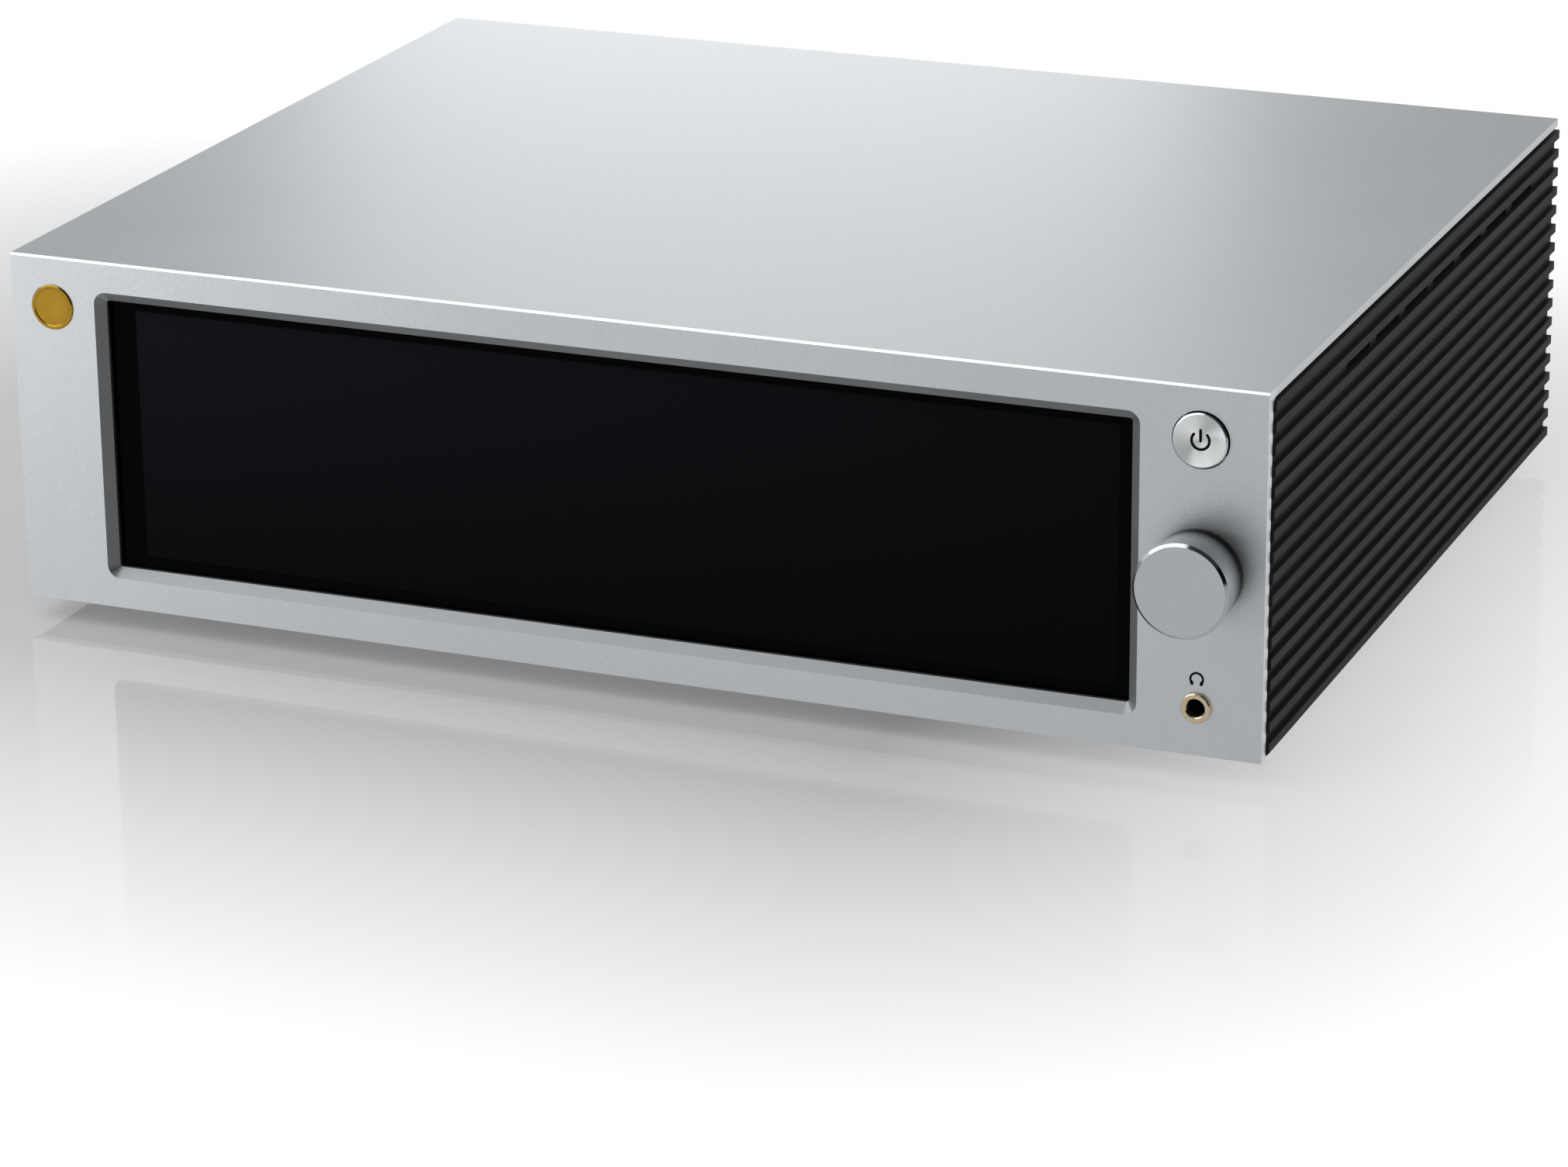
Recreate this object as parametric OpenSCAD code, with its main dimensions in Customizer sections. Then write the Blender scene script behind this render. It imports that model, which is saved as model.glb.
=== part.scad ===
// Network music streamer: a half-width hi-fi component with a bevelled letterbox display,
// a round power button, a volume knob and a headphone socket on its metal front.
// The casing is one L-shaped cover (front and top) over two ribbed side extrusions,
// a sheet base and a rear socket panel. Millimetres, +Z up, the front faces -Y,
// and the origin is under the middle of the whole object at the surface it stands on.

/* [Casing] */
// Width of the cover, side to side
body_w = 278; // [270:1:330]
// Depth of the cover, front face to rear edge
body_d = 220; // [212:1:280]
// Height of the cover, without the feet
body_h = 77; // [77:0.5:100]
// Thickness of the front plate
front_t = 2.7; // [2.5:0.1:4]
// Thickness of the top plate
top_t = 1.8; // [1.5:0.1:2.5]
// Bright chamfer along the front top edge
edge_chamfer = 0.4; // [0.2:0.1:0.8]
// Fillet inside the corner of the cover
inner_fillet = 2; // [1:0.5:3]
// Shadow gap between the cover and the side panels
shadow_gap = 0.8; // [0.5:0.1:1.5]
// Thickness of the sheet base
base_t = 1.5; // [1:0.1:2.5]
// Thickness of the rear panel
rear_t = 2; // [1.5:0.1:3]
// How far the rear panel lies inside the cover's rear edge
rear_inset = 1.5; // [0.5:0.1:3]

/* [Side panels] */
// Least spacing of the ribs
rib_pitch = 4.4; // [4:0.1:6]
// Height of a rib's flat outer face
rib_face = 1.95; // [1.5:0.05:2.4]
// Depth of the grooves, which is also the width of each rib's lower bevel
rib_depth = 1.1; // [0.8:0.1:1.4]
// How far the ribs stand out past the cover's side edge
rib_out = 0.5; // [0.2:0.1:0.8]
// Thickness of the side wall under the grooves
side_wall = 3; // [2.5:0.1:4]
// Width of the inner ledges that carry the cover and the base
ledge_w = 9; // [8:0.5:10]
// Height of the inner ledges
ledge_t = 6; // [5.5:0.5:7]
// Number of ventilation slots in each side
vent_count = 7; // [3:1:8]
// Length of a ventilation slot
vent_len = 16.8; // [10:0.1:19]
// Spacing of the ventilation slots
vent_pitch = 21.4; // [20:0.1:24]
// Distance from the last slot to the cover's rear edge
vent_rear = 20; // [10:1:30]
// How far a slot bites into the bevel above its groove
vent_bite = 0.6; // [0.2:0.1:0.9]

/* [Display] */
// Distance from the cover's left edge to the display opening
window_left = 21.7; // [18:0.1:40]
// Distance from the display opening to the cover's right edge
window_right = 28.3; // [26.8:0.1:40]
// Distance from the display opening to the cover's top and bottom edges
window_edge = 8.7; // [8.7:0.1:14]
// Width of the bevel round the opening
bevel_w = 2.1; // [1:0.1:2.4]
// Depth of the bevel
bevel_d = 1.8; // [1:0.1:2.2]
// Corner radius of the opening at its inner edge
window_r = 0.7; // [0.5:0.1:2]
// How far the cover glass reaches past the opening
glass_lap = 2.6; // [2:0.1:2.8]
// Thickness of the cover glass
glass_t = 1.1; // [0.7:0.1:2]
// Thickness of the sealing gasket
gasket_t = 0.5; // [0.3:0.1:0.8]
// Thickness of the display panel
lcd_t = 3; // [2:0.1:3.5]

/* [Controls] */
// Distance from the cover's right edge to the column of controls
column_inset = 13.7; // [13.5:0.1:15]
// Distance from the power button's axis up to the cover's top edge
button_drop = 11; // [11:0.5:13]
// Diameter of the power button
button_dia = 11.4; // [9:0.1:12]
// How far the power button stands out of the front
button_proud = 0.8; // [0.6:0.1:1.5]
// Depth of the dish in the power button
dish_depth = 0.5; // [0.2:0.1:0.8]
// Travel of the power button
button_travel = 0.6; // [0.3:0.1:0.8]
// How far the knob's axis lies below the middle of the front
knob_low = 0; // [-1:0.1:3]
// Diameter of the volume knob at its face
knob_dia = 19.8; // [18:0.1:22]
// Diameter of the volume knob beside the front
knob_root_dia = 18.6; // [17:0.1:19.8]
// How far the volume knob stands out of the front
knob_proud = 12; // [8.5:0.1:14]
// Chamfer of the knob's front edge
knob_chamfer = 0.6; // [0.3:0.1:1]
// Diameter of the encoder shaft
shaft_dia = 6; // [5:0.1:6.4]
// Height of the headphone socket's axis above the cover's bottom edge
jack_z = 10.2; // [9.8:0.1:13]
// Diameter of the headphone socket's ring
jack_ring_dia = 6.2; // [5.8:0.1:9]
// How far the ring stands out of the front
jack_ring_proud = 0.8; // [0.5:0.1:2]
// Bore of the headphone socket
jack_bore = 3.6; // [3.55:0.05:3.8]
// Depth of the headphone socket's bore
jack_depth = 14; // [13:0.5:17]
// Diameter of the round badge
badge_dia = 9.8; // [6:0.1:12]
// Distance from the cover's left edge to the badge's centre
badge_inset = 9.6; // [8:0.1:10]

/* [Feet] */
// Height of the feet, with their pads
foot_h = 5; // [4.5:0.1:12]
// Diameter of a foot
foot_dia = 30; // [22:1:36]
// Distance from the cover's sides to the foot centres
foot_inset = 36; // [34:1:44]
// How far the rubber pad stands out of the foot
pad_proud = 1; // [0.5:0.1:1.5]

/* [Boards] */
// Thickness of the circuit boards
board_t = 1.6; // [1:0.1:2]
// Height of the standoffs under the main boards
standoff_h = 6; // [6:0.5:10]
// Depth of the main boards
board_d = 150; // [140:1:158]
// Width of the power supply board
supply_w = 66.4; // [62:0.1:68]
// Width of the audio output board
dac_w = 58.4; // [58:0.1:60]

/* [Rear sockets] */
// Outer diameter of a phono socket's sleeve
phono_dia = 8.3; // [8.2:0.05:8.4]
// How far a phono sleeve stands out of the rear panel
phono_len = 10; // [9:0.1:12]
// Spacing of the line output sockets
phono_pitch = 18; // [16:0.5:19]
// Diameter of the antenna sockets' barrels
antenna_dia = 6.35; // [6.2:0.05:6.5]
// How far an antenna socket stands out of the rear panel
antenna_len = 9; // [8:0.1:9]
// Width of the mains inlet's mouth
inlet_w = 24.5; // [24:0.1:25]
// Height of the mains inlet's mouth
inlet_h = 17; // [16.5:0.1:17.5]
// Depth of the mains inlet's mouth
inlet_depth = 18; // [16:0.5:20]

/* [Hidden] */
$fn = 48;

// A sliding or screwed fit's small gap, the gap between bodies, the overrun of a cut,
// and the metal left past the end of a blind hole
fit = 0.05;
gap = 0.3;
cut = 1;
blind = 1;

// Planes of the casing
rear_reach = max(phono_len, antenna_len) - rear_inset;
front_y = knob_proud - (knob_proud + body_d + rear_reach) / 2;
back_y = front_y + body_d;
inside_y = front_y + front_t;
rear_y = back_y - rear_inset;
rear_in_y = rear_y - rear_t;
low_z = foot_h;
top_z = foot_h + body_h;
under_z = top_z - top_t;
floor_z = low_z + base_t;

// Side extrusions
groove_x = body_w / 2 + rib_out - rib_depth;
wall_x = groove_x - side_wall;
panel_top = under_z - shadow_gap;
panel_h = panel_top - low_z;
rib_h = rib_face + rib_depth;
rib_count = floor((panel_h - rib_h) / rib_pitch) + 1;
rib_step = (panel_h - rib_h) / (rib_count - 1);
rail_h = 4;
rail_side = 1;
ledge_top_z = under_z - rail_h;
ledge_x = wall_x - ledge_w / 2;
ledge_setback = 16;
ledge_y = inside_y + ledge_setback;
ledge_mid_y = (ledge_y + rear_in_y) / 2;
vent_rib = 2;
end_screw_len = 12;
end_screw_tip = 2;
cover_screw_fore = 14;
cover_screw_aft = 34;
base_screw_fore = 8;
base_screw_aft = 22;

// Fasteners: shank diameter, head diameter, head height, socket width, socket depth
m3 = [3, 5.6, 1.7, 2.3, 1.1];
m25 = [2.5, 4.5, 1.5, 1.7, 0.9];
m2 = [2, 3.8, 1.3, 1.5, 0.8];

// Control column
column_x = body_w / 2 - column_inset;
button_axis = top_z - button_drop;
knob_axis = low_z + body_h / 2 - knob_low;
jack_axis = low_z + jack_z;
button_hole = button_dia + 2 * gap;
dish_rim = 0.4;
flange_lap = 0.9;
flange_dia = button_hole + 2 * flange_lap;
flange_t = 1;
guide_bore = flange_dia + 2 * gap;
guide_wall = 0.9;
encoder_depth = 6.5;
encoder_side = 12;
encoder_cap = 1.2;
bushing_wall = 0.7;
bushing_dia = shaft_dia + 2 * bushing_wall;
nut_wall = 1.8;
nut_side = bushing_dia + 2 * nut_wall;
nut_t = 2;
bushing_len = front_t + nut_t + gap;
knob_gap = 0.5;
board_front_y = inside_y + encoder_depth;
switch_side = 6;
switch_t = 4;
plunger_dia = 3.4;
plunger_in = 1;
jack_barrel = 5;
jack_body_w = 11;
jack_body_h = 12;
jack_cap = 2;
jack_slot_gap = 0.5;

// Display stack
window_w = body_w - window_left - window_right;
window_h = body_h - 2 * window_edge;
window_x = (window_left - window_right) / 2;
window_z = low_z + body_h / 2;
glass_w = window_w + 2 * glass_lap;
glass_h = window_h + 2 * glass_lap;
glass_r = 1;
lcd_edge = 1;
glass_y = inside_y + gasket_t;
lcd_y = glass_y + glass_t;
bracket_y = lcd_y + lcd_t;
bracket_t = 1.2;
bracket_top = under_z - gap;
bracket_low = floor_z + gap;
boss_dia = 3.4;
boss_out = glass_h / 2 + gap + boss_dia / 2;
boss_zs = [window_z - boss_out, window_z + boss_out];
boss_inset = 18.7;
boss_xs = [boss_inset - glass_w / 2, 0, glass_w / 2 - boss_inset];
bracket_web = 12;
bracket_r = 4;
driver_w = 96;
driver_h = 34;
driver_gap = 3;
driver_inset = 4;
driver_post_dia = 5;
driver_chip = [14, 14, 1.4];
driver_chip_xs = [-28, 4];

// Main boards: left, right and the plane of their tops
board_side = wall_x - ledge_w - 2;
between_boards = 4;
supply_x = [-board_side, supply_w - board_side];
dac_x = [board_side - dac_w, board_side];
main_x = [supply_x[1] + between_boards, dac_x[0] - between_boards];
board_z = floor_z + standoff_h;
board_top = board_z + board_t;
board_back = rear_in_y - gap;
board_fore = board_back - board_d;
board_edge = 5;
board_hole_back = 32;
standoff_dia = 5.5;
standoff_floor = 1;
board_screw_tip = 2;

// Rear sockets: width, height and depth behind the panel, and the gap round each
port_gap = 0.25;
port_lip = 0.4;
ethernet = [16, 13.6, 21];
usb_a = [14.6, 15.6, 18];
hdmi = [15, 6.2, 11];
usb_c = [9.2, 3.6, 8];
optical = [9.8, 10.2, 13];

// The sockets of the main board share its spare width evenly
port_widths = [ethernet[0], usb_a[0], hdmi[0], usb_c[0], optical[0], optical[0]];
function sum_to(i) = i < 0 ? 0 : port_widths[i] + sum_to(i - 1);
port_spare = (main_x[1] - main_x[0] - sum_to(len(port_widths) - 1)) / (len(port_widths) + 1);
function port_x(i) = main_x[0] + (i + 1) * port_spare + sum_to(i - 1) + port_widths[i] / 2;
ethernet_x = port_x(0);
usb_a_x = port_x(1);
hdmi_x = port_x(2);
usb_c_x = port_x(3);
optical_xs = [port_x(4), port_x(5)];

phono_rise = 11;
phono_z = board_top + phono_rise;
phono_edge = 8;
phono_right = dac_x[1] - phono_edge;
phono_xs = [phono_right - 2 * phono_pitch, phono_right - phono_pitch, phono_right];
phono_block_edge = 3;
phono_block = [dac_w - 2 * phono_block_edge, 21, 13];
phono_core = 3.3;
phono_core_len = 9;
phono_wall = 0.7;
phono_step = 0.4;
antenna_edge = 2;
antenna_drop = 14;
antenna_xs = [supply_x[1] + antenna_edge, dac_x[0] - between_boards];
antenna_z = top_z - antenna_drop;
inlet_in = 28;
inlet_rise = 40;
inlet_x = supply_x[0] + inlet_in;
inlet_z = low_z + inlet_rise;
inlet_ear = 12;
inlet_rim = 3;
inlet_wall = [1.25, 1.5];
inlet_back = 5;
inlet_flange = [inlet_w + 2 * inlet_ear, inlet_h + 2 * inlet_rim, 2.6];
inlet_body = [inlet_w + 2 * inlet_wall[0], inlet_h + 2 * inlet_wall[1], inlet_depth + inlet_back];
inlet_holes = 40;
inlet_screw_past = 3;
blade_x = 7;
blade_z = 2.5;

// Feet
foot_x = body_w / 2 - foot_inset;
foot_ys = [front_y + foot_inset, back_y - foot_inset];
foot_boss = 3;
foot_boss_dia = 7;
pad_in = 1.5;
pad_edge = 2.5;
pad_hole = 10;

// Basic solids

module box(lo, hi) {
    translate(lo)
        cube(hi - lo);
}

module rod_y(y, len, dia) {
    translate([0, y, 0])
        rotate([-90, 0, 0])
            cylinder(h = len, d = dia);
}

module tube_y(y, len, dia, bore) {
    difference() {
        rod_y(y, len, dia);
        rod_y(y - cut, len + 2 * cut, bore);
    }
}

// A plate cut from a flat outline of x and z, from y to y + t
module slab_y(y, t) {
    translate([0, y + t, 0])
        rotate([90, 0, 0])
            linear_extrude(height = t)
                children();
}

module round_rect(w, h, r) {
    square([w - 2 * r, h], center = true);
    square([w, h - 2 * r], center = true);
    for (sx = [-1, 1], sz = [-1, 1])
        translate([sx * (w / 2 - r), sz * (h / 2 - r)])
            circle(r = r);
}

module both_sides() {
    children();
    mirror([1, 0, 0])
        children();
}

// A button-head screw whose shank runs up +Z from its seat at the origin
module screw(size, len) {
    difference() {
        union() {
            cylinder(h = len, d = size[0] - 2 * fit);
            translate([0, 0, -size[2]])
                cylinder(h = size[2], d = size[1]);
        }
        translate([0, 0, -size[2] - cut])
            cylinder(h = size[4] + cut, d = size[3], $fn = 6);
    }
}

// Casing

// The bevelled mouth of the display opening, as straight bevels and conical corners
module window_bevel() {
    run_w = window_w - 2 * window_r;
    run_h = window_h - 2 * window_r;
    wide = window_r + bevel_w;
    translate([window_x, front_y, window_z]) {
        for (sx = [-1, 1], sz = [-1, 1])
            translate([sx * run_w / 2, 0, sz * run_h / 2])
                rotate([-90, 0, 0])
                    cylinder(h = bevel_d, r1 = wide, r2 = window_r);
        translate([0, 0, -run_h / 2])
            linear_extrude(height = run_h)
                bevel_section(run_w / 2);
        translate([-run_w / 2, 0, 0])
            rotate([90, 0, 90])
                linear_extrude(height = run_w)
                    mirror([1, -1, 0])
                        bevel_section(run_h / 2);
    }
}

// Half-lengths at the face and at the foot of the bevel, with the depth along the second axis
module bevel_section(half) {
    wide = half + window_r + bevel_w;
    slim = half + window_r;
    polygon([[-wide, 0], [wide, 0], [slim, bevel_d], [-slim, bevel_d]]);
}

module shell_section() {
    difference() {
        translate([front_y, low_z])
            square([body_d, body_h]);
        translate([inside_y + inner_fillet, low_z - cut])
            square([body_d, body_h - top_t + cut]);
        translate([inside_y, low_z - cut])
            square([body_d, body_h - top_t - inner_fillet + cut]);
        translate([inside_y + inner_fillet, under_z - inner_fillet])
            circle(r = inner_fillet);
        translate([front_y, top_z])
            rotate(45)
                square(edge_chamfer * sqrt(2), center = true);
    }
}

rail_lo = [wall_x - ledge_w + rail_side, ledge_y, ledge_top_z];
rail_hi = [wall_x - rail_side, rear_in_y - gap, under_z + fit];
cover_screw_ys = [ledge_y + cover_screw_fore, ledge_mid_y, rear_in_y - cover_screw_aft];
cover_screw_len = ledge_t + rail_h - blind;

module casing_shell() {
    color([0.74, 0.76, 0.77])
        difference() {
            union() {
                translate([-body_w / 2, 0, 0])
                    rotate([90, 0, 90])
                        linear_extrude(height = body_w)
                            shell_section();
                both_sides()
                    box(rail_lo, rail_hi);
                for (x = boss_xs, z = boss_zs)
                    translate([window_x + x, 0, z])
                        rod_y(inside_y - fit, bracket_y - inside_y + fit, boss_dia);
            }
            window_bevel();
            translate([window_x, 0, window_z])
                slab_y(front_y, front_t + cut)
                    round_rect(window_w, window_h, window_r);
            translate([column_x, 0, button_axis])
                rod_y(front_y - cut, front_t + 2 * cut, button_hole);
            translate([column_x, 0, knob_axis])
                rod_y(front_y - cut, front_t + 2 * cut, bushing_dia + 2 * fit);
            translate([column_x, 0, jack_axis])
                rod_y(front_y - cut, front_t + 2 * cut, jack_barrel + 2 * fit);
            translate([badge_inset - body_w / 2, 0, button_axis])
                rod_y(front_y - cut, cut + badge_in, badge_dia + 2 * fit);
            for (x = boss_xs, z = boss_zs)
                translate([window_x + x, 0, z])
                    rod_y(bracket_y - bracket_screw_in, bracket_screw_in + cut, m2[0]);
            both_sides()
                for (y = cover_screw_ys)
                    translate([ledge_x, y, ledge_top_z - cut])
                        cylinder(h = cut + rail_h - blind + fit, d = m3[0]);
        }
}

badge_in = 0.4;
badge_out = 0.4;
badge_rim = 0.7;

// A plain turned disc with a raised rim, in a shallow pocket of the front
module badge() {
    color([0.72, 0.55, 0.2])
        translate([badge_inset - body_w / 2, front_y + badge_in, button_axis])
            rotate([90, 0, 0])
                rotate_extrude()
                    polygon([
                        [0, 0],
                        [badge_dia / 2, 0],
                        [badge_dia / 2, badge_in + badge_out / 2],
                        [badge_dia / 2 - badge_out / 2, badge_in + badge_out],
                        [badge_dia / 2 - badge_rim, badge_in + badge_out],
                        [badge_dia / 2 - badge_rim - badge_out / 2, badge_in + badge_out / 2],
                        [0, badge_in + badge_out / 2],
                    ]);
}

function rib_z(i) = panel_top - i * rib_step;

// Outline of a side wall: flat inside, and outside a rib with a square top edge
// and a bevelled lower edge at every step
module side_section() {
    ribs = [
        for (i = [0:rib_count - 1])
            each [
                [groove_x, rib_z(i)],
                [groove_x + rib_depth, rib_z(i)],
                [groove_x + rib_depth, rib_z(i) - rib_face],
                [groove_x, rib_z(i) - rib_h],
            ]
    ];
    polygon(concat([[wall_x, panel_top]], ribs, [[wall_x, low_z]]));
}

base_screw_ys = [ledge_y + base_screw_fore, ledge_mid_y, rear_in_y - base_screw_aft];
base_screw_len = base_t + ledge_t - blind;
corner_zs = [floor_z + ledge_t / 2, ledge_top_z - ledge_t / 2];

module side_heatsink() {
    slot_z = rib_z(vent_rib);
    slot_h = rib_step - rib_h + vent_bite;
    wall_y = inside_y + shadow_gap;
    difference() {
        union() {
            slab_y(wall_y, back_y - wall_y)
                side_section();
            for (z = [floor_z, ledge_top_z - ledge_t])
                box([wall_x - ledge_w, ledge_y, z], [wall_x + fit, rear_in_y, z + ledge_t]);
        }
        for (i = [0:vent_count - 1])
            box(
                [wall_x - cut, back_y - vent_rear - vent_len - i * vent_pitch, slot_z],
                [body_w, back_y - vent_rear - i * vent_pitch, slot_z + slot_h]
            );
        for (y = cover_screw_ys)
            translate([ledge_x, y, ledge_top_z - ledge_t - cut])
                cylinder(h = ledge_t + 2 * cut, d = m3[0]);
        for (y = base_screw_ys)
            translate([ledge_x, y, floor_z - cut])
                cylinder(h = cut + ledge_t - blind + fit, d = m3[0]);
        for (z = corner_zs)
            translate([ledge_x, 0, z])
                rod_y(rear_in_y - end_screw_len, end_screw_len + cut, m3[0]);
    }
}

module side_heatsink_right() {
    color([0.24, 0.24, 0.25])
        side_heatsink();
}

module side_heatsink_left() {
    color([0.24, 0.24, 0.25])
        mirror([1, 0, 0])
            side_heatsink();
}

base_vent = [24, 3];
base_vent_step = 8;
base_vent_row = 55.6;

module base_plate() {
    color([0.2, 0.2, 0.21])
        difference() {
            union() {
                box(
                    [-wall_x + gap, inside_y + gap, low_z],
                    [wall_x - gap, rear_in_y, floor_z]
                );
                for (sx = [-1, 1], y = foot_ys)
                    translate([sx * foot_x, y, floor_z - fit])
                        cylinder(h = foot_boss + fit, d = foot_boss_dia);
            }
            for (sx = [-1, 1], y = foot_ys)
                translate([sx * foot_x, y, low_z - cut])
                    cylinder(h = base_t + foot_boss + 2 * cut, d = m3[0]);
            both_sides()
                for (y = base_screw_ys)
                    translate([ledge_x, y, low_z - cut])
                        cylinder(h = base_t + 2 * cut, d = m3[0]);
            for (sx = [-1, 0, 1], i = [-2:2])
                translate([sx * base_vent_row, (front_y + back_y) / 2 + i * base_vent_step, low_z - cut])
                    linear_extrude(height = base_t + 2 * cut)
                        round_rect(base_vent[0], base_vent[1], base_vent[1] / 2 - fit);
            for (p = standoff_spots)
                translate([p[0], p[1], low_z - cut])
                    cylinder(h = base_t + 2 * cut, d = m3[0]);
        }
}

// Feet

module foot_spots() {
    for (sx = [-1, 1], y = foot_ys)
        translate([sx * foot_x, y, 0])
            children();
}

module feet() {
    edge = 0.8;
    color([0.3, 0.3, 0.31])
        foot_spots()
            rotate_extrude()
                polygon([
                    [m3[0] / 2, pad_proud + pad_in],
                    [foot_dia / 2 - pad_edge, pad_proud + pad_in],
                    [foot_dia / 2 - pad_edge, pad_proud],
                    [foot_dia / 2 - edge, pad_proud],
                    [foot_dia / 2, pad_proud + edge],
                    [foot_dia / 2, foot_h - edge],
                    [foot_dia / 2 - edge, foot_h],
                    [m3[0] / 2, foot_h],
                ]);
}

module foot_pads() {
    pad_r = foot_dia / 2 - pad_edge - fit;
    round_off = 0.4;
    color([0.08, 0.08, 0.08])
        foot_spots()
            rotate_extrude()
                polygon([
                    [pad_hole / 2, 0],
                    [pad_r - round_off, 0],
                    [pad_r, round_off],
                    [pad_r, pad_proud + pad_in],
                    [pad_hole / 2, pad_proud + pad_in],
                ]);
}

module foot_screws() {
    len = foot_h - pad_proud - pad_in + base_t + foot_boss;
    color([0.6, 0.6, 0.62])
        foot_spots()
            translate([0, 0, pad_proud + pad_in])
                screw(m3, len);
}

// Rear panel and its sockets

module port_hole(x, z, size) {
    translate([x, 0, z])
        slab_y(rear_in_y - cut, rear_t + 2 * cut)
            square([size[0] + 2 * port_gap, size[1] + 2 * port_gap], center = true);
}

module rear_panel() {
    side = wall_x - gap;
    color([0.12, 0.12, 0.13])
        difference() {
            box([-side, rear_in_y, low_z], [side, rear_y, under_z]);
            port_hole(ethernet_x, board_top + ethernet[1] / 2, ethernet);
            port_hole(usb_a_x, board_top + usb_a[1] / 2, usb_a);
            port_hole(hdmi_x, board_top + hdmi[1] / 2, hdmi);
            port_hole(usb_c_x, board_top + usb_c[1] / 2, usb_c);
            for (x = optical_xs)
                port_hole(x, board_top + optical[1] / 2, optical);
            port_hole(inlet_x, inlet_z, inlet_body);
            for (x = phono_xs)
                translate([x, 0, phono_z])
                    rod_y(rear_in_y - cut, rear_t + 2 * cut, phono_dia + 2 * port_gap);
            for (x = antenna_xs)
                translate([x, 0, antenna_z])
                    rod_y(rear_in_y - cut, rear_t + 2 * cut, antenna_dia + 2 * fit);
            for (sx = [-1, 1])
                translate([inlet_x + sx * inlet_holes / 2, 0, inlet_z])
                    rod_y(rear_in_y - cut, rear_t + 2 * cut, m3[0]);
            both_sides()
                for (z = corner_zs)
                    translate([ledge_x, 0, z])
                        rod_y(rear_in_y - cut, rear_t + 2 * cut, m3[0]);
        }
}

module rear_screws() {
    color([0.15, 0.15, 0.16])
        both_sides()
            for (z = corner_zs)
                translate([ledge_x, rear_y, z])
                    rotate([90, 0, 0])
                        screw(m3, rear_t + end_screw_len - end_screw_tip);
}

module base_screws() {
    color([0.15, 0.15, 0.16])
        both_sides()
            for (y = base_screw_ys)
                translate([ledge_x, y, low_z])
                    screw(m3, base_screw_len);
}

module cover_screws() {
    color([0.6, 0.6, 0.62])
        both_sides()
            for (y = cover_screw_ys)
                translate([ledge_x, y, ledge_top_z - ledge_t])
                    screw(m3, cover_screw_len);
}

// A socket's box that stands on its board and looks out of the rear panel
module port_box(x, size) {
    box(
        [x - size[0] / 2, rear_y + port_lip - size[2], board_top],
        [x + size[0] / 2, rear_y + port_lip, board_top + size[1]]
    );
}

// A hollow that runs in from a socket's mouth
module port_mouth(x, z, w, h, depth) {
    box(
        [x - w / 2, rear_y + port_lip - depth, z - h / 2],
        [x + w / 2, rear_y + port_lip + cut, z + h / 2]
    );
}

module ethernet_socket() {
    mouth = [11.8, 8.4, 13];
    latch = [4, 2.6];
    z = board_top + ethernet[1] / 2;
    color([0.75, 0.75, 0.76])
        difference() {
            port_box(ethernet_x, ethernet);
            port_mouth(ethernet_x, z, mouth[0], mouth[1], mouth[2]);
            port_mouth(ethernet_x, z - mouth[1] / 2, latch[0], latch[1], mouth[2]);
        }
}

module usb_sockets() {
    mouth = [12.6, 5.2, 14];
    tongue = [11.2, 1.8, 12];
    tongue_up = 0.8;
    storey = usb_a[1] / 4;
    color([0.75, 0.75, 0.76])
        difference() {
            port_box(usb_a_x, usb_a);
            for (s = [-1, 1])
                port_mouth(usb_a_x, board_top + usb_a[1] / 2 + s * storey, mouth[0], mouth[1], mouth[2]);
        }
    color([0.1, 0.1, 0.1])
        for (s = [-1, 1])
            translate([usb_a_x, 0, board_top + usb_a[1] / 2 + s * storey + tongue_up])
                slab_y(rear_y + port_lip - mouth[2] - fit, tongue[2] + fit)
                    square([tongue[0], tongue[1]], center = true);
}

module hdmi_socket() {
    mouth = [14, 4.6, 9];
    tongue = [10.5, 1, 8];
    slope = 1.6;
    z = board_top + hdmi[1] / 2;
    color([0.75, 0.75, 0.76])
        difference() {
            port_box(hdmi_x, hdmi);
            translate([hdmi_x, 0, z])
                slab_y(rear_y + port_lip - mouth[2], mouth[2] + cut)
                    polygon([
                        [-mouth[0] / 2, mouth[1] / 2],
                        [mouth[0] / 2, mouth[1] / 2],
                        [mouth[0] / 2, slope - mouth[1] / 2],
                        [mouth[0] / 2 - slope, -mouth[1] / 2],
                        [slope - mouth[0] / 2, -mouth[1] / 2],
                        [-mouth[0] / 2, slope - mouth[1] / 2],
                    ]);
        }
    color([0.1, 0.1, 0.1])
        translate([hdmi_x, 0, z])
            slab_y(rear_y + port_lip - mouth[2] - fit, tongue[2])
                square([tongue[0], tongue[1]], center = true);
}

module usb_c_socket() {
    mouth = [8.4, 2.6, 6.5];
    tongue = [6.6, 0.7, 5.5];
    color([0.75, 0.75, 0.76])
        difference() {
            translate([usb_c_x, 0, board_top + usb_c[1] / 2])
                slab_y(rear_y + port_lip - usb_c[2], usb_c[2])
                    round_rect(usb_c[0], usb_c[1], usb_c[1] / 2 - fit);
            translate([usb_c_x, 0, board_top + usb_c[1] / 2])
                slab_y(rear_y + port_lip - mouth[2], mouth[2] + cut)
                    round_rect(mouth[0], mouth[1], mouth[1] / 2 - fit);
        }
    color([0.1, 0.1, 0.1])
        translate([usb_c_x, 0, board_top + usb_c[1] / 2])
            slab_y(rear_y + port_lip - mouth[2] - fit, tongue[2])
                square([tongue[0], tongue[1]], center = true);
}

module optical_sockets() {
    mouth = [8.2, 8.2, 8];
    color([0.07, 0.07, 0.07])
        for (x = optical_xs)
            difference() {
                port_box(x, optical);
                port_mouth(x, board_top + optical[1] / 2, mouth[0], mouth[1], mouth[2]);
            }
}

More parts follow.
